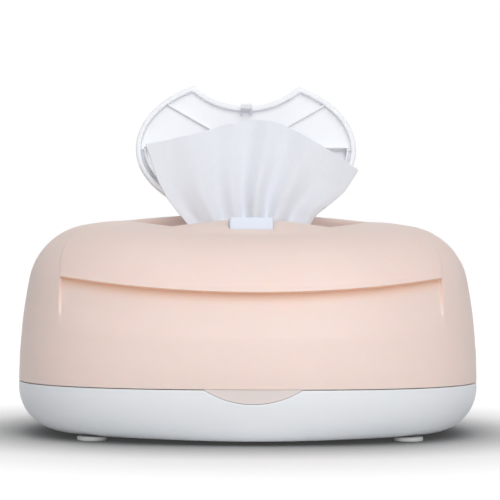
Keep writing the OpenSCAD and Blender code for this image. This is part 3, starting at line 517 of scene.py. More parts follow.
# Flap, drawn shut about its hinge axis and turned open
flapSize = dict(gap=4.2, rear=44.2, top=1.6, plate=1.8, rimH=5.0, rimW=2.9, wallIn=4.6, wallH=6.5, ring=12.0,
                rib=1.1, ribH=3.6, straightRibH=2.4, sag=3.5, swing=101.5)
hook = dict(w=6.4, thick=1.6, h=9.5, gap=0.4, prong=2.7, prongH=6.5)
flapTurn = math.radians(flapSize["sag"] - flapSize["swing"])
flapOpen = Matrix.Translation((0, flapHinge["y"], flapHinge["z"])) @ Matrix.Rotation(flapTurn, 4, "X")
flapMiddle = dish["y"] - flapHinge["y"]


def flapRing(inset, z, share=1.0):
    x, y = openingPoint(flapSize["gap"] + inset, flapSize["rear"])
    return flat((x * share, (y - dish["y"]) * share + flapMiddle), z)


def flapPanel():
    top, w = flapSize["top"], flapSize["rimW"]
    under, low = top - flapSize["plate"], top - flapSize["rimH"]
    profile = [(0.9, top), (0.45, top - 0.12), (0.13, top - 0.45), (0, top - 0.9), (0, low + 0.9),
               (0.13, low + 0.42), (0.45, low + 0.1), (0.9, low), (w - 0.7, low), (w - 0.2, low + 0.2),
               (w, low + 0.7), (w, under - 0.8), (w + 0.2, under - 0.25), (w + 0.8, under)]
    rings = [flapRing(0.9, top + 0.7 * (1 - s * s), s) for s in (0.04, 0.25, 0.5, 0.7, 0.85, 0.95)]
    rings += [flapRing(inset, z) for inset, z in profile]
    rings += [flapRing(w + 0.8, under, s) for s in (0.9, 0.7, 0.4, 0.04)]
    return loftData(rings)


def wallAlong(keep, inset, width, low, high):
    half = width / 2
    foot = [(inset + half * (1 - cosd(a)), low + half * (1 - sind(a))) for a in np.linspace(0, 180, 8)]
    across = [flapRing(i, z)[keep] for i, z in [(inset, high)] + foot + [(inset + width, high)]]
    order = np.argsort(-np.degrees(np.arctan2(across[0][:, 1] - flapMiddle, across[0][:, 0])))
    return loftData(list(np.stack([ring[order] for ring in across], 1)))


def radiusAt(angle, inset):
    ring = flapRing(inset, 0.0)
    d = np.degrees(np.arctan2(ring[:, 1] - flapMiddle, ring[:, 0]))
    r = np.hypot(ring[:, 1] - flapMiddle, ring[:, 0])
    order = np.argsort(d)
    return float(np.interp(angle, d[order], r[order]))


def ribBar(angle):
    near, far = flapSize["ring"] - 0.7, radiusAt(angle, flapSize["rimW"] / 2)
    high = flapSize["straightRibH"] if angle in (0, 180) else flapSize["ribH"]
    low = flapSize["top"] - 0.4 - high
    bar = slab(far - near, flapSize["rib"], high, 0.3, 0.35)
    turn = Matrix.Translation((0, flapMiddle, 0)) @ Matrix.Rotation(math.radians(angle), 4, "Z")
    return turned(bar, turn @ Matrix.Translation(((near + far) / 2, 0, low)))


def ringWall(r, width, low, high, sides=64):
    inner = r - width
    profile = [(r, high), (r, low + 0.3), (r - 0.3, low), (inner + 0.3, low), (inner, low + 0.3), (inner, high)]
    return loftData([circle(q, 0, flapMiddle, z, sides) for q, z in profile], wrap=True)


def hookParts():
    wall = flapHinge["y"] + tongue["y"] - tongue["r"] - dish["rim"] - hook["gap"]
    tip = -math.sqrt(wall ** 2 - hook["h"] ** 2)
    stem = slab(hook["w"], hook["thick"], hook["h"], 0.5, 0.3)
    barb = slab(hook["w"], hook["thick"], hook["thick"], 0.5, 0.3)
    parts = [moved(stem, 0, tip + 1.8, -hook["h"]), moved(barb, 0, tip + 0.8, -hook["h"])]
    for s in (-1, 1):
        side = [(s * hook["prong"] + e, tip + 2.6 + a, b)
                for e in (-0.5, 0.5) for a, b in ((-0.4, 0), (-0.4, -hook["prongH"]), (3.0, 0))]
        parts.append((np.array(side), [(0, 1, 2), (5, 4, 3), (0, 3, 4, 1), (1, 4, 5, 2), (2, 5, 3, 0)]))
    return parts


outline = flapRing(flapSize["wallIn"], 0.0)
nearHinge = outline[:, 1] > flapMiddle - 0.7
flapParts = [flapPanel(), wallAlong(nearHinge, flapSize["wallIn"], flapSize["rib"], -flapSize["wallH"], 1.2)]
flapParts += [ribBar(a) for a in (0, -30, -150, 180)]
flapParts.append(ringWall(flapSize["ring"], flapSize["rib"], flapSize["top"] - flapSize["rimH"], 1.2))
flapParts += hookParts()
width = flapHinge["half"] - flapHinge["inner"]
for start in (-flapHinge["half"], flapHinge["inner"]):
    flapParts.append(alongX(drum(flapHinge["r"], width, 0.4, hole=flapHinge["bore"]), start, 0, 0))
    flapParts.append(moved(slab(width, 9, flapSize["plate"], 0.3, 0.2), start + width / 2, -4.5, -0.2))
flapPiece = joined("flap_moulding", [turned(p, flapOpen) for p in flapParts])
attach(flapPiece, "flap")
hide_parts("flap")


# Latch button and thumb tab
capLow = button["top"] - button["h"]
brimLow = capLow - button["flange"]
cap = slab(button["w"], button["d"], button["h"], 1.4, 0.7)
brim = slab(button["w"] + 4, button["d"] + 3, button["flange"], 1.5, 0.3)
arm = slab(8, button["arm"], button["flange"], 0.6, 0.3)
buttonPiece = joined("latch_button_cap", [
    moved(cap, 0, -button["y"], capLow), moved(brim, 0, -button["y"], brimLow),
    moved(arm, 0, (button["d"] + button["arm"]) / 2 - button["y"], brimLow)])
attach(buttonPiece, "button")
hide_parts("latch_button")

# The button's spring, drawn as a fixed coil; the real spring shortens as the button goes down
nearCorner, farCorner = [[v / mm for v in corner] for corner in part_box("button_spring")]
coil = dict(wire=0.4, turns=5, travel=2.0, low=nearCorner[2], high=farCorner[2])
coil["r"] = (farCorner[0] - nearCorner[0]) / 2 - coil["wire"]


def coilData():
    t = np.linspace(0, 1, 24 * coil["turns"] + 1)
    height = mix(coil["low"] + coil["wire"], coil["high"] - coil["wire"], t)
    around = np.arange(10) * 2 * math.pi / 10
    reach = coil["r"] + coil["wire"] * np.cos(around)
    rings = []
    for a, z in zip(360 * coil["turns"] * t, height):
        rings.append(np.stack([reach * cosd(a), reach * sind(a) - button["y"],
                               z + coil["wire"] * np.sin(around)], 1))
    return loftData(rings)


springPiece = newObject("button_spring_coil", *coilData())
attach(springPiece, "lid")
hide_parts("button_spring")
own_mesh(springPiece)

tab = dict(gap=0.15, side=0.3, thick=1.7, back=0.8)


def tabData():
    front = tab["back"] - body["front"]
    half = base["notchW"] / 2 - tab["side"]
    x = np.linspace(-half, half, 41)
    low = body["seam"] - base["notchH"] + notchR - np.sqrt((notchR - tab["gap"]) ** 2 - x ** 2)
    middle = (low + lidZ) / 2
    loops = []
    for inset, depth in ((0.9, 0), (0.25, 0), (0.0, 0.3), (0.0, tab["thick"] - 0.3), (0.3, tab["thick"])):
        reach = np.maximum(0.02, (lidZ - low) / 2 - inset * 0.6)
        px, py = x * (1 - inset * 0.6 / half), np.full(41, front + depth)
        loops.append(np.concatenate([np.stack([px, py, middle - reach], 1),
                                     np.stack([px, py, middle + reach], 1)[::-1]]))
    return loftData(loops)


tabPiece = newObject("thumb_tab_moulding", *tabData())
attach(tabPiece, "lid")
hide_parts("thumb_tab")
print("flap, button and tab made")


# Wipe that stands out of the slot as a fan: four edges, filled between, with pleats that run out of the slot
wipeSize = dict(cols=150, rows=90, thickness=0.45, low=96.6,
                half=14.5)
wipeLeft = [(-wipeSize["half"], wipeSize["low"]), (-15.4, 101), (-23.5, 106.6), (-32.5, 112.8), (-38.2, 119.6),
            (-45.2, 128.6), (-50.0, 137.5), (-53.4, 147.5), (-57.0, 158.0)]
wipeRight = [(wipeSize["half"], wipeSize["low"]), (15.4, 101), (25, 106.6), (33.2, 112.4), (37.4, 119.5),
             (46.5, 126.6), (52.6, 132.0), (56.6, 138.4), (60.2, 144.2)]
wipeTop = [(-57.0, 158.0), (-44, 160.8), (-28, 164.6), (-12, 169.6), (3.5, 172.4), (16, 170.9), (29, 164.8),
           (44.5, 155.4), (60.2, 144.2)]
# Each pleat: its place across the wipe, its spread and its depth in millimetres
wipePleats = [(0.08, 0.05, 2.0), (0.2, 0.045, -2.6), (0.31, 0.05, 2.8), (0.4, 0.035, -2.0), (0.47, 0.05, 3.2),
              (0.56, 0.04, -3.4), (0.64, 0.04, 2.4), (0.75, 0.055, -3.0), (0.86, 0.05, 2.6), (0.94, 0.04, -1.6)]


def alongLine(points, s):
    p = np.array(points, float)
    length = np.concatenate([[0], np.cumsum(np.hypot(*np.diff(p, axis=0).T))])
    s = np.asarray(s) * length[-1]
    soft = np.linspace(0, length[-1], 400)
    raw = np.stack([np.interp(soft, length, p[:, k]) for k in (0, 1)], 1)
    kernel = np.hanning(41) / np.hanning(41).sum()
    padded = np.concatenate([2 * raw[0] - raw[20:0:-1], raw, 2 * raw[-1] - raw[-2:-22:-1]])
    eased = np.stack([np.convolve(padded[:, k], kernel, "valid") for k in (0, 1)], 1)
    return np.stack([np.interp(s, soft, eased[:, k]) for k in (0, 1)], 1)


def wipeData():
    u = np.linspace(0, 1, wipeSize["cols"])
    v = np.linspace(0, 1, wipeSize["rows"])
    left, right, top = alongLine(wipeLeft, v), alongLine(wipeRight, v), alongLine(wipeTop, u)
    bottom = np.stack([mix(-wipeSize["half"], wipeSize["half"], u), np.full(len(u), wipeSize["low"])], 1)
    uu, vv = np.meshgrid(u, v)
    uu, vv = uu[..., None], vv[..., None]
    p = (mix(bottom[None], top[None], vv) + mix(left[:, None], right[:, None], uu)
         - mix(mix(bottom[0], bottom[-1], uu), mix(top[0], top[-1], uu), vv))
    uu, vv = uu[..., 0], vv[..., 0]
    free = smooth((p[..., 1] - 101) / 20)
    depth = np.zeros_like(uu)
    for centre, spread, height in wipePleats:
        sway = centre + 0.05 * math.sin(centre * 40) * vv * (1 - vv)
        reach = 0.75 + 0.35 * smooth((1.05 - vv) / 0.75) * (0.7 + 0.3 * math.sin(centre * 91))
        depth += height * np.exp(-((uu - sway) / (spread * (1 + 0.5 * vv))) ** 2) * reach
    depth += 1.1 * np.sin(uu * 31 + 2 * vv) * (1 - vv) ** 2
    depth += 0.35 * np.sin(uu * 67 + 5 * vv) * smooth(1.2 - 1.6 * vv)
    lean = 3.0 * smooth(vv) - 9.0 * vv ** 2 * (uu - 0.45) ** 2 * 4
    neck = 1.0 * np.sin(uu * 50) * (1 - free)
    y = dish["y"] + free * (depth + lean) + neck
    points = np.stack([p[..., 0], y, p[..., 1]], -1).reshape(-1, 3)
    n = len(u)
    corners = [k * n + j for k in range(len(v) - 1) for j in range(n - 1)]
    return points, [(c, c + 1, c + n + 1, c + n) for c in corners]


wipePiece = newObject("wipe_pulled_up", *wipeData(), sharp=180)
thicken = wipePiece.modifiers.new("thickness", "SOLIDIFY")
thicken.thickness = wipeSize["thickness"] * mm
thicken.offset = 0.0
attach(wipePiece, "lid")
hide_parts("wipe_sheet")
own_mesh(wipePiece)


# Stack of folded wipes in the tub
stackSize = dict(w=166.0, d=96.0, h=50.0, layers=26, low=13.9)


def stackData():
    layers = stackSize["layers"]
    step = stackSize["h"] / layers
    rng = np.random.default_rng(7)
    rings = []
    plan = roundedOutline(stackSize["w"], stackSize["d"], 10, 14)
    length = np.linspace(0, 2 * math.pi, len(plan), endpoint=False)
    for k in range(layers):
        slow, fast = np.sin(length * 3 + rng.uniform(0, 6)), np.sin(length * 7 + rng.uniform(0, 6))
        wander = 0.5 + 0.35 * slow + 0.15 * fast
        for part, inset in ((0.02, 0.9), (0.2, 0.15), (0.5, 0.0), (0.8, 0.15), (0.98, 0.9)):
            shrink = 1 - (inset + wander * 0.8) / 60
            height = np.full(len(plan), stackSize["low"] + step * (k + part))
            rings.append(np.column_stack([plan * shrink[:, None], height]))
    top = rings[-1]
    for share in (0.97, 0.9, 0.7, 0.45, 0.2):
        ring = top * [share, share, 1]
        ring[:, 2] -= 0.6 * (1 - share) * (1 + 0.3 * np.sin(length * 4))
        rings.append(ring)
    return moved(loftData(rings), 0, tubMid, 0)


stackPiece = newObject("wipe_stack_folded", *stackData(), sharp=50)
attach(stackPiece, "base")
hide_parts("wipe_stack")
print("wipes made")


# Tub, gasket, liner and slot seal as smooth lofts
tub = dict(a=96.0, b=60.0, power=4.5, floor=12.0, top=baseZ + 7, wall=1.8, flange=baseZ - 2, flare=6.0,
           corner=5.0)
gasket = dict(inset=base["wall"] + 3.8, r=1.0, half=1.6)
liner = dict(wall=1.8, corner=20.0, inset=11.0, foot=tub["flange"] + tub["wall"] + 2 * gasket["r"] + 0.3,
             holeA=45.0, holeB=28.0)
seal = dict(a=40.6, b=23.6, neckA=37.6, neckB=20.6, slotA=17.0, slotB=1.6, plateA=34.0, plateB=17.0)


def superRing(a, front, rear, power, mid, z, n=None):
    n = n or (240)
    angles = np.linspace(-math.pi, math.pi, n, endpoint=False)
    b = np.where(np.sin(angles) < 0, front + mid, rear - mid)
    r = (np.abs(np.cos(angles) / a) ** power + np.abs(np.sin(angles) / b) ** power) ** (-1 / power)
    return np.stack([r * np.cos(angles), mid + r * np.sin(angles), np.full(n, z)], 1)


def bodyLevel(inset, z):
    return superRing(body["half"] - inset, body["front"] - inset, body["rear"] - inset, body["planPower"], 0, z)


def tubRing(grow, z):
    b = tub["b"] + grow
    return superRing(tub["a"] + grow, b - tubMid, b + tubMid, tub["power"], tubMid, z)


def dishLevel(a, b, z, power=2.0, n=None):
    return superRing(a, b - dish["y"], b + dish["y"], power, dish["y"], z, n)


def tubData():
    floor, top, flange, r = tub["floor"], tub["top"], tub["flange"], tub["corner"]
    ledge, inner = flange + tub["wall"], r - tub["wall"]
    grow = tub["flare"] * (flange - floor) / (top - floor)
    rings = [tubRing(r * (cosd(a) - 1), floor + r * (1 - sind(a))) for a in np.linspace(90, 0, 7)]
    rings += [tubRing(grow, flange), bodyLevel(3.0, flange), bodyLevel(3.0, ledge), tubRing(grow + 0.6, ledge),
              tubRing(grow + 0.1, ledge + 0.4)]
    for back, drop in ((0, 0.5), (0.15, 0.12), (0.5, 0), (1.3, 0), (1.65, 0.12), (1.8, 0.5)):
        rings.append(tubRing(tub["flare"] - back, top - drop))
    rings += [tubRing(inner * cosd(a) - r, floor + r - inner * sind(a)) for a in np.linspace(0, 90, 7)]
    return loftData(rings)


def gasketData():
    middle = tub["flange"] + tub["wall"] + gasket["r"]
    rings = [bodyLevel(gasket["inset"] + gasket["half"] * sind(a), middle - gasket["r"] * cosd(a))
             for a in np.arange(0, 360, 30)]
    return loftData([ring[::-1] for ring in rings], wrap=True)


def linerData():
    foot, r, wall = liner["foot"], liner["corner"], liner["wall"]
    top, hub = dish["floor"] - dish["floorT"], liner["inset"] + liner["corner"]
    edge = lid["wall"] + 0.6
    rings = [bodyLevel(edge, foot), bodyLevel(edge, foot + 2), bodyLevel(9, foot + 2)]
    rings += [bodyLevel(hub - r * cosd(a), top - r * (1 - sind(a))) for a in np.linspace(0, 90, 9)]
    rings += [dishLevel(liner["holeA"], liner["holeB"], z) for z in (top, top - wall)]
    rings += [bodyLevel(hub - (r - wall) * cosd(a), top - r + (r - wall) * sind(a))
              for a in np.linspace(90, 0, 9)]
    rings += [bodyLevel(10.8, foot)]
    return loftData(rings, wrap=True)


def sealData():
    high, low = dish["floor"], dish["floor"] - dish["floorT"]
    a, b, neckA, neckB = seal["a"], seal["b"], seal["neckA"], seal["neckB"]
    plateA, plateB, slotA, slotB = seal["plateA"], seal["plateB"], seal["slotA"], seal["slotB"]
    profile = [(neckA, neckB, high), (a, b, high), (a, b, high + 0.8), (a - 0.3, b - 0.3, high + 1.2),
               (plateA, plateB, high + 1.2), (plateA - 1, plateB - 0.8, high + 0.9),
               (slotA + 2, slotB + 1.6, high + 0.2, 3), (slotA, slotB, high, 4), (slotA, slotB, high - 1, 4),
               (plateA, plateB, low - 1.2), (a, b, low - 1.2), (a, b, low), (neckA, neckB, low)]
    return loftData([dishLevel(*row, n=144) for row in profile], wrap=True)


smoothPieces = [("inner_tub_moulding", tubData(), "base", "inner_tub", "white_liner"),
                ("rim_gasket_bead", gasketData(), "base", "rim_gasket", "seal_silicone"),
                ("lid_liner_moulding", linerData(), "lid", "lid_liner", "white_liner"),
                ("orifice_seal_moulding", sealData(), "lid", "orifice_seal", "seal_silicone")]
made = {}
for name, data, rider, node, slotName in smoothPieces:
    made[node] = newObject(name, *data)
    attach(made[node], rider)
    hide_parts(node)

footSize = dict(r=8.0, h=2.0, edge=0.5, x=83.0, y=48.0)
feet = []
for sx in (-1, 1):
    for sy in (-1, 1):
        name = "foot_" + ("front_" if sy < 0 else "rear_") + ("left" if sx < 0 else "right")
        disc = drum(footSize["r"], footSize["h"], footSize["edge"], 64)
        pad = newObject(name + "_pad", *moved(disc, sx * footSize["x"], tubMid + sy * footSize["y"]))
        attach(pad, "base")
        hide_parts(name)
        feet.append(pad)
print("tub, liner and seals made")


# Finishes. Three node groups are built once, and each material gives them its own values
white, black = (1, 1, 1, 1), (0, 0, 0, 1)


def grey(level):
    return (level, level, level, 1)


def newGroup(name, inputs, outputs):
    group = bpy.data.node_groups.new(name, "ShaderNodeTree")
    for label, kind, value in inputs:
        made = group.interface.new_socket(label, in_out="INPUT", socket_type=kind)
        made.default_value = value
    for label, kind in outputs:
        group.interface.new_socket(label, in_out="OUTPUT", socket_type=kind)
    return group, group.nodes.new("NodeGroupInput").outputs, group.nodes.new("NodeGroupOutput")


def setInputs(tree, node, values):
    for key, value in values.items():
        if isinstance(value, bpy.types.NodeSocket):
            tree.links.new(value, node.inputs[key])
        else:
            node.inputs[key].default_value = value


def addNode(tree, kind, values=None, **settings):
    node = tree.nodes.new(kind)
    for key, value in settings.items():
        setattr(node, key, value)
    setInputs(tree, node, values or {})
    return node


def mixColours(tree, factor, first, second, blend="MIX"):
    node = addNode(tree, "ShaderNodeMix", data_type="RGBA", blend_type=blend)
    setInputs(tree, node, {"Factor": factor, 6: first, 7: second})
    return node.outputs[2]


def worked(tree, operation, *values):
    return addNode(tree, "ShaderNodeMath", dict(enumerate(values)), operation=operation).outputs[0]


def ranged(tree, value, low, high, toLow=0.0, toHigh=1.0, **settings):
    limits = {"Value": value, "From Min": low, "From Max": high, "To Min": toLow, "To Max": toHigh}
    return addNode(tree, "ShaderNodeMapRange", limits, **settings).outputs[0]


def noise(tree, position, scale, detail, distortion=0.0):
    values = {"Vector": position, "Scale": scale, "Detail": detail, "Distortion": distortion}
    return addNode(tree, "ShaderNodeTexNoise", values).outputs["Fac"]


def stretched(tree, position, scale):
    return addNode(tree, "ShaderNodeMapping", {"Vector": position, "Scale": scale}).outputs[0]


def toned(tree, tint, value):
    return addNode(tree, "ShaderNodeHueSaturation", {"Color": tint, "Value": value}).outputs[0]


def mouldedGroup():
    group, given, leave = newGroup("moulded plastic", [
        ("Colour", "NodeSocketColor", grey(0.8)), ("Edge Highlight Colour", "NodeSocketColor", white),
        ("Edge Highlight Amount", "NodeSocketFloat", 0.3), ("Roughness", "NodeSocketFloat", 0.4),
        ("Grain Scale", "NodeSocketFloat", 2600.0), ("Dust", "NodeSocketFloat", 0.04)],
        [("Colour", "NodeSocketColor"), ("Roughness", "NodeSocketFloat"), ("Height", "NodeSocketFloat")])
    position = addNode(group, "ShaderNodeTexCoord").outputs["Object"]
    pointed = addNode(group, "ShaderNodeNewGeometry").outputs["Pointiness"]
    # Painted edge highlight: convex edges, found by pointiness, are mixed towards the lighter edge colour
    edgeHighlight = worked(group, "MULTIPLY", ranged(group, pointed, 0.52, 0.62), given["Edge Highlight Amount"])
    cloud = ranged(group, noise(group, position, 14.0, 3.0), 0.3, 0.7, -1.0, 1.0)
    clouded = toned(group, given["Colour"], worked(group, "MULTIPLY_ADD", cloud, given["Dust"], 1.0))
    smear = noise(group, position, 38.0, 4.0)
    setInputs(group, leave, {"Colour": mixColours(group, edgeHighlight, clouded, given["Edge Highlight Colour"]),
                             "Roughness": worked(group, "MULTIPLY_ADD", smear, 0.1, given["Roughness"]),
                             "Height": noise(group, position, given["Grain Scale"], 2.0)})
    return group


def fibreGroup():
    group, given, leave = newGroup("nonwoven fibre", [
        ("Colour", "NodeSocketColor", grey(0.9)), ("Fibre Scale", "NodeSocketFloat", 900.0),
        ("Mottle", "NodeSocketFloat", 0.06)],
        [("Colour", "NodeSocketColor"), ("Height", "NodeSocketFloat")])
    position = addNode(group, "ShaderNodeTexCoord").outputs["Object"]
    threads = noise(group, stretched(group, position, (1.0, 1.0, 0.35)), given["Fibre Scale"], 5.0, 1.5)
    dots = addNode(group, "ShaderNodeTexVoronoi", {"Vector": position, "Scale": 420.0}).outputs["Distance"]
    tone = ranged(group, threads, 0.3, 0.7, worked(group, "SUBTRACT", 1.0, given["Mottle"]), 1.0)
    setInputs(group, leave, {"Colour": toned(group, given["Colour"], tone),
                             "Height": worked(group, "MULTIPLY_ADD", dots, 0.5, threads)})
    return group


def metalGroup():
    group, given, leave = newGroup("drawn metal", [
        ("Colour", "NodeSocketColor", grey(0.6)), ("Roughness", "NodeSocketFloat", 0.3),
        ("Tarnish", "NodeSocketFloat", 0.15)],
        [("Colour", "NodeSocketColor"), ("Roughness", "NodeSocketFloat"), ("Height", "NodeSocketFloat")])
    position = addNode(group, "ShaderNodeTexCoord").outputs["Object"]
    lines = noise(group, stretched(group, position, (0.15, 1.0, 1.0)), 1800.0, 3.0)
    stain = ranged(group, noise(group, position, 90.0, 4.0), 0.5, 0.75)
    stained = worked(group, "MULTIPLY", stain, given["Tarnish"])
    setInputs(group, leave, {"Colour": mixColours(group, stained, given["Colour"], (0.25, 0.22, 0.2, 1)),
                             "Roughness": worked(group, "MULTIPLY_ADD", lines, 0.15, given["Roughness"]),
                             "Height": lines})
    return group


moulded, fibre, metal = mouldedGroup(), fibreGroup(), metalGroup()


def finish(name, group, values, bump=0.05, **shader):
    material = bpy.data.materials.new(name)
    material.use_nodes = True
    tree = material.node_tree
    skin = tree.nodes["Principled BSDF"]
    given = addNode(tree, "ShaderNodeGroup", values, node_tree=group).outputs
    raised = addNode(tree, "ShaderNodeBump", {"Strength": bump, "Distance": 0.0004, "Height": given["Height"]})
    setInputs(tree, skin, {"Base Color": given["Colour"], "Normal": raised.outputs["Normal"]})
    if "Roughness" in given:
        setInputs(tree, skin, {"Roughness": given["Roughness"]})
    setInputs(tree, skin, {key.replace("_", " "): value for key, value in shader.items()})
    return material


def colour(r, g, b):
    return (*[((c / 255 + 0.055) / 1.055) ** 2.4 if c > 10 else c / 255 / 12.92 for c in (r, g, b)], 1)


# Each plastic's edge colour is a painted edge highlight, lighter than its own colour
def plastic(name, shade, edge, amount=0.3, rough=0.4, dust=0.02, bump=0.03, **shader):
    values = {"Colour": shade, "Edge Highlight Colour": edge, "Edge Highlight Amount": amount, "Roughness": rough, "Dust": dust}
    return finish(name, moulded, values, bump, **shader)


peachShell = plastic("peach shell plastic", colour(241, 218, 209), colour(250, 236, 230), 0.25, 0.42,
                     Subsurface_Weight=0.3, Subsurface_Scale=0.004, Subsurface_Radius=(1.0, 0.45, 0.25))
peachTree = peachShell.node_tree
peachBase = peachTree.nodes["Principled BSDF"].inputs["Base Color"]
# Painted shade and bounce light: the lid's colour is mixed towards a warm tan by the painted shade mask
paintedShadeFactor = addNode(peachTree, "ShaderNodeAttribute", attribute_name="paintedShade").outputs["Fac"]
paintedShadeColour = mixColours(peachTree, paintedShadeFactor, peachBase.links[0].from_socket, colour(244, 198, 168))
peachTree.links.new(paintedShadeColour, peachBase)
# Painted shade: the thumb tab is the lid's peach plastic, painted greyer and darker for the shade it sits in
# within the base's notch
tabShadedPeach = plastic("peach plastic painted in shade", colour(222, 211, 207), colour(244, 234, 230), 0.25, 0.45)
whiteShell = plastic("white shell plastic", colour(229, 232, 235), colour(250, 250, 252), 0.3, 0.36)
whiteLiner = plastic("white liner plastic", colour(232, 233, 235), colour(246, 246, 246), 0.2, 0.5)
coolWhite = plastic("bluish white plastic", colour(247, 250, 255), colour(252, 253, 255), 0.25, 0.36,
                    Subsurface_Weight=0.35, Subsurface_Scale=0.0015, Subsurface_Radius=(1.0, 1.0, 1.0))
buttonWhite = plastic("pale blue button plastic", colour(223, 232, 245), colour(250, 252, 255), 0.3, 0.36)
footRubber = plastic("grey rubber", colour(196, 196, 194), colour(214, 214, 212), 0.1, 0.75, 0.08, 0.2)
silicone = plastic("milky silicone", colour(226, 229, 232), colour(240, 242, 244), 0.1, 0.5, 0.03)
wipeCloth = finish("wet wipe cloth", fibre, {"Colour": colour(241, 246, 254), "Mottle": 0.03}, 0.12,
                   Roughness=0.8, Subsurface_Weight=0.3, Subsurface_Scale=0.003,
                   Subsurface_Radius=(1.0, 1.0, 1.0))
insulation = finish("pressed felt", fibre, {"Colour": colour(205, 204, 194), "Fibre Scale": 500.0,
                                            "Mottle": 0.2}, 0.5, Roughness=0.95)
steel = finish("zinc plated steel", metal, {"Colour": (0.62, 0.62, 0.64, 1), "Roughness": 0.28}, 0.08,
               Metallic=1.0)
aluminium = finish("aluminium sheet", metal, {"Colour": (0.8, 0.8, 0.81, 1), "Roughness": 0.35}, 0.1,
                   Metallic=1.0)
amberFilm = plastic("amber film", colour(196, 120, 40), colour(214, 150, 70), 0.2, 0.25, 0.1)
ceramic = plastic("glazed ceramic", colour(232, 230, 224), colour(240, 240, 236), 0.1, 0.25)
wireRed = plastic("red wire insulation", colour(186, 40, 36), colour(206, 80, 70), 0.2, 0.5)
boardGreen = plastic("green board", colour(38, 104, 62), colour(70, 130, 90), 0.3, 0.35, 0.1)
inletBlack = plastic("black inlet plastic", colour(34, 34, 36), colour(70, 70, 74), 0.4, 0.4, 0.1, 0.1)

# The pieces drawn here and the nodes that they stand for get the same finish
dressed = {peachShell: [lidShell, lidFittings, "lid_shell"], tabShadedPeach: [tabPiece, "thumb_tab"],
           whiteShell: [baseShell, baseFittings, "base_shell"], coolWhite: [flapPiece, "flap"],
           whiteLiner: [made["inner_tub"], made["lid_liner"], "inner_tub", "lid_liner"],
           buttonWhite: [buttonPiece, "latch_button"],
           wipeCloth: [wipePiece, stackPiece, "wipe_sheet", "wipe_stack"],
           silicone: [made["rim_gasket"], made["orifice_seal"], "rim_gasket", "orifice_seal"],
           footRubber: feet + [name for name in nodes if name.startswith("foot_")],
           steel: [springPiece, "button_spring", "tub_screws", "liner_screws", "lid_hinge_pins",
                   "flap_hinge_pin", "flap_spring", "thermostat"],
           aluminium: ["heat_spreader"], amberFilm: ["heating_film"], insulation: ["insulation_pad"],
           ceramic: ["thermal_fuse"], wireRed: ["heater_wires"], boardGreen: ["control_board"],
           inletBlack: ["dc_inlet"]}
for material, pieces in dressed.items():
    for piece in pieces:
        shown = nodes[piece] if isinstance(piece, str) else piece
        shown.data.materials.clear()
        shown.data.materials.append(material)
print("finishes made")


# Stage: a pale floor, two soft boxes, and a surround that is white to the camera and grey as a light
def plane(name, size, position):
    mesh = bpy.data.meshes.new(name)
    corners = [(sx * size / 2, sy * size / 2, 0) for sx, sy in ((-1, -1), (1, -1), (1, 1), (-1, 1))]
    mesh.from_pydata(corners, [], [(0, 1, 2, 3)])
    made = bpy.data.objects.new(name, mesh)
    made.location = position
    bpy.context.scene.collection.objects.link(made)
    return made


def cameraOnly(tree, seen, unseen):
    # Rays that pass through a piece or mirror off it count as the camera's
    rays = addNode(tree, "ShaderNodeLightPath").outputs
    straight = worked(tree, "MAXIMUM", rays["Is Camera Ray"], rays["Is Transmission Ray"])
    return mixColours(tree, worked(tree, "MAXIMUM", straight, rays["Is Glossy Ray"]), unseen, seen)


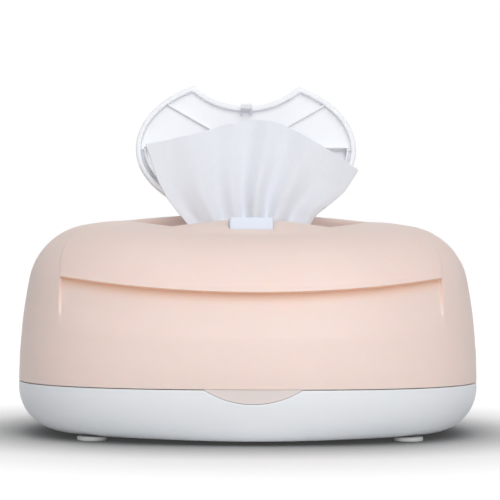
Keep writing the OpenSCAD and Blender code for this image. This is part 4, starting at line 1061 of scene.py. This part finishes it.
def floorMaterial():
    # The floor fades to white away from the object. Near it, a painted contact shadow taken from ambient
    # occlusion darkens the floor where the object nearly touches it, and a faint glow seen only by the camera
    # lifts that shadow
    material = bpy.data.materials.new("pale floor")
    material.use_nodes = True
    tree = material.node_tree
    position = addNode(tree, "ShaderNodeNewGeometry").outputs["Position"]
    reach = addNode(tree, "ShaderNodeVectorMath", {0: position}, operation="LENGTH").outputs["Value"]
    faraway = ranged(tree, reach, 0.105, 0.27, interpolation_type="SMOOTHSTEP")
    # Painted contact shadow
    contactShade = addNode(tree, "ShaderNodeAmbientOcclusion", {"Distance": 0.07}, samples=12).outputs["AO"]
    paintedContactShadow = mixColours(tree, worked(tree, "POWER", contactShade, 2.0), grey(0.05), white)
    near = cameraOnly(tree, paintedContactShadow, grey(0.92))
    glow = mixColours(tree, faraway, cameraOnly(tree, grey(0.04), black), cameraOnly(tree, white, black))
    rest = mixColours(tree, 1.0, white, glow, "SUBTRACT")
    dimmed = mixColours(tree, 1.0, near, rest, "MULTIPLY")
    setInputs(tree, tree.nodes["Principled BSDF"], {
        "Base Color": dimmed, "Roughness": 0.9, "Specular IOR Level": 0.1, "Emission Color": glow,
        "Emission Strength": 1.0})
    return material


floor = plane("floor", 12.0, (0, 0, 0))
floor.data.materials.append(floorMaterial())

surround = bpy.data.worlds.new("surround")
bpy.context.scene.world = surround
surround.use_nodes = True
skyTree = surround.node_tree
sky = skyTree.nodes["Background"]
skyTree.links.new(cameraOnly(skyTree, white, (0.27, 0.275, 0.285, 1)), sky.inputs["Color"])
sky.inputs["Strength"].default_value = 1.0


def softBox(name, position, aim, width, height, power):
    light = bpy.data.lights.new(name, "AREA")
    light.shape = "RECTANGLE"
    light.size, light.size_y = width, height
    light.energy = power
    lamp = bpy.data.objects.new(name, light)
    lamp.location = position
    lamp.rotation_euler = (Vector(aim) - Vector(position)).to_track_quat("-Z", "Y").to_euler()
    bpy.context.scene.collection.objects.link(lamp)
    return lamp


lights = [softBox("top soft box", (0, -0.25, 1.5), (0, 0, 0.05), 1.2, 1.0, 3.2),
          softBox("front soft box", (0.15, -1.4, 0.82), (0, 0, 0.08), 1.2, 1.6, 15.7)]

lens = dict(distance=1.120, height=0.100, azimuth=-1.9, aim=0.0009, focal=146.3, roll=0.3)
camera = bpy.data.objects.new("camera", bpy.data.cameras.new("camera"))
camera.data.lens = lens["focal"]
camera.data.sensor_width = 36.0
camera.data.clip_end = 30
back = Vector((sind(lens["azimuth"]), -cosd(lens["azimuth"]), 0))
stand = Matrix.Translation(Vector((lens["aim"], 0, lens["height"])) + back * lens["distance"])
for degrees, axis in ((lens["azimuth"], "Z"), (90, "X"), (lens["roll"], "Z")):
    stand = stand @ Matrix.Rotation(math.radians(degrees), 4, axis)
camera.matrix_world = stand
bpy.context.scene.collection.objects.link(camera)
bpy.context.scene.camera = camera
bpy.context.scene.view_settings.view_transform = "Standard"
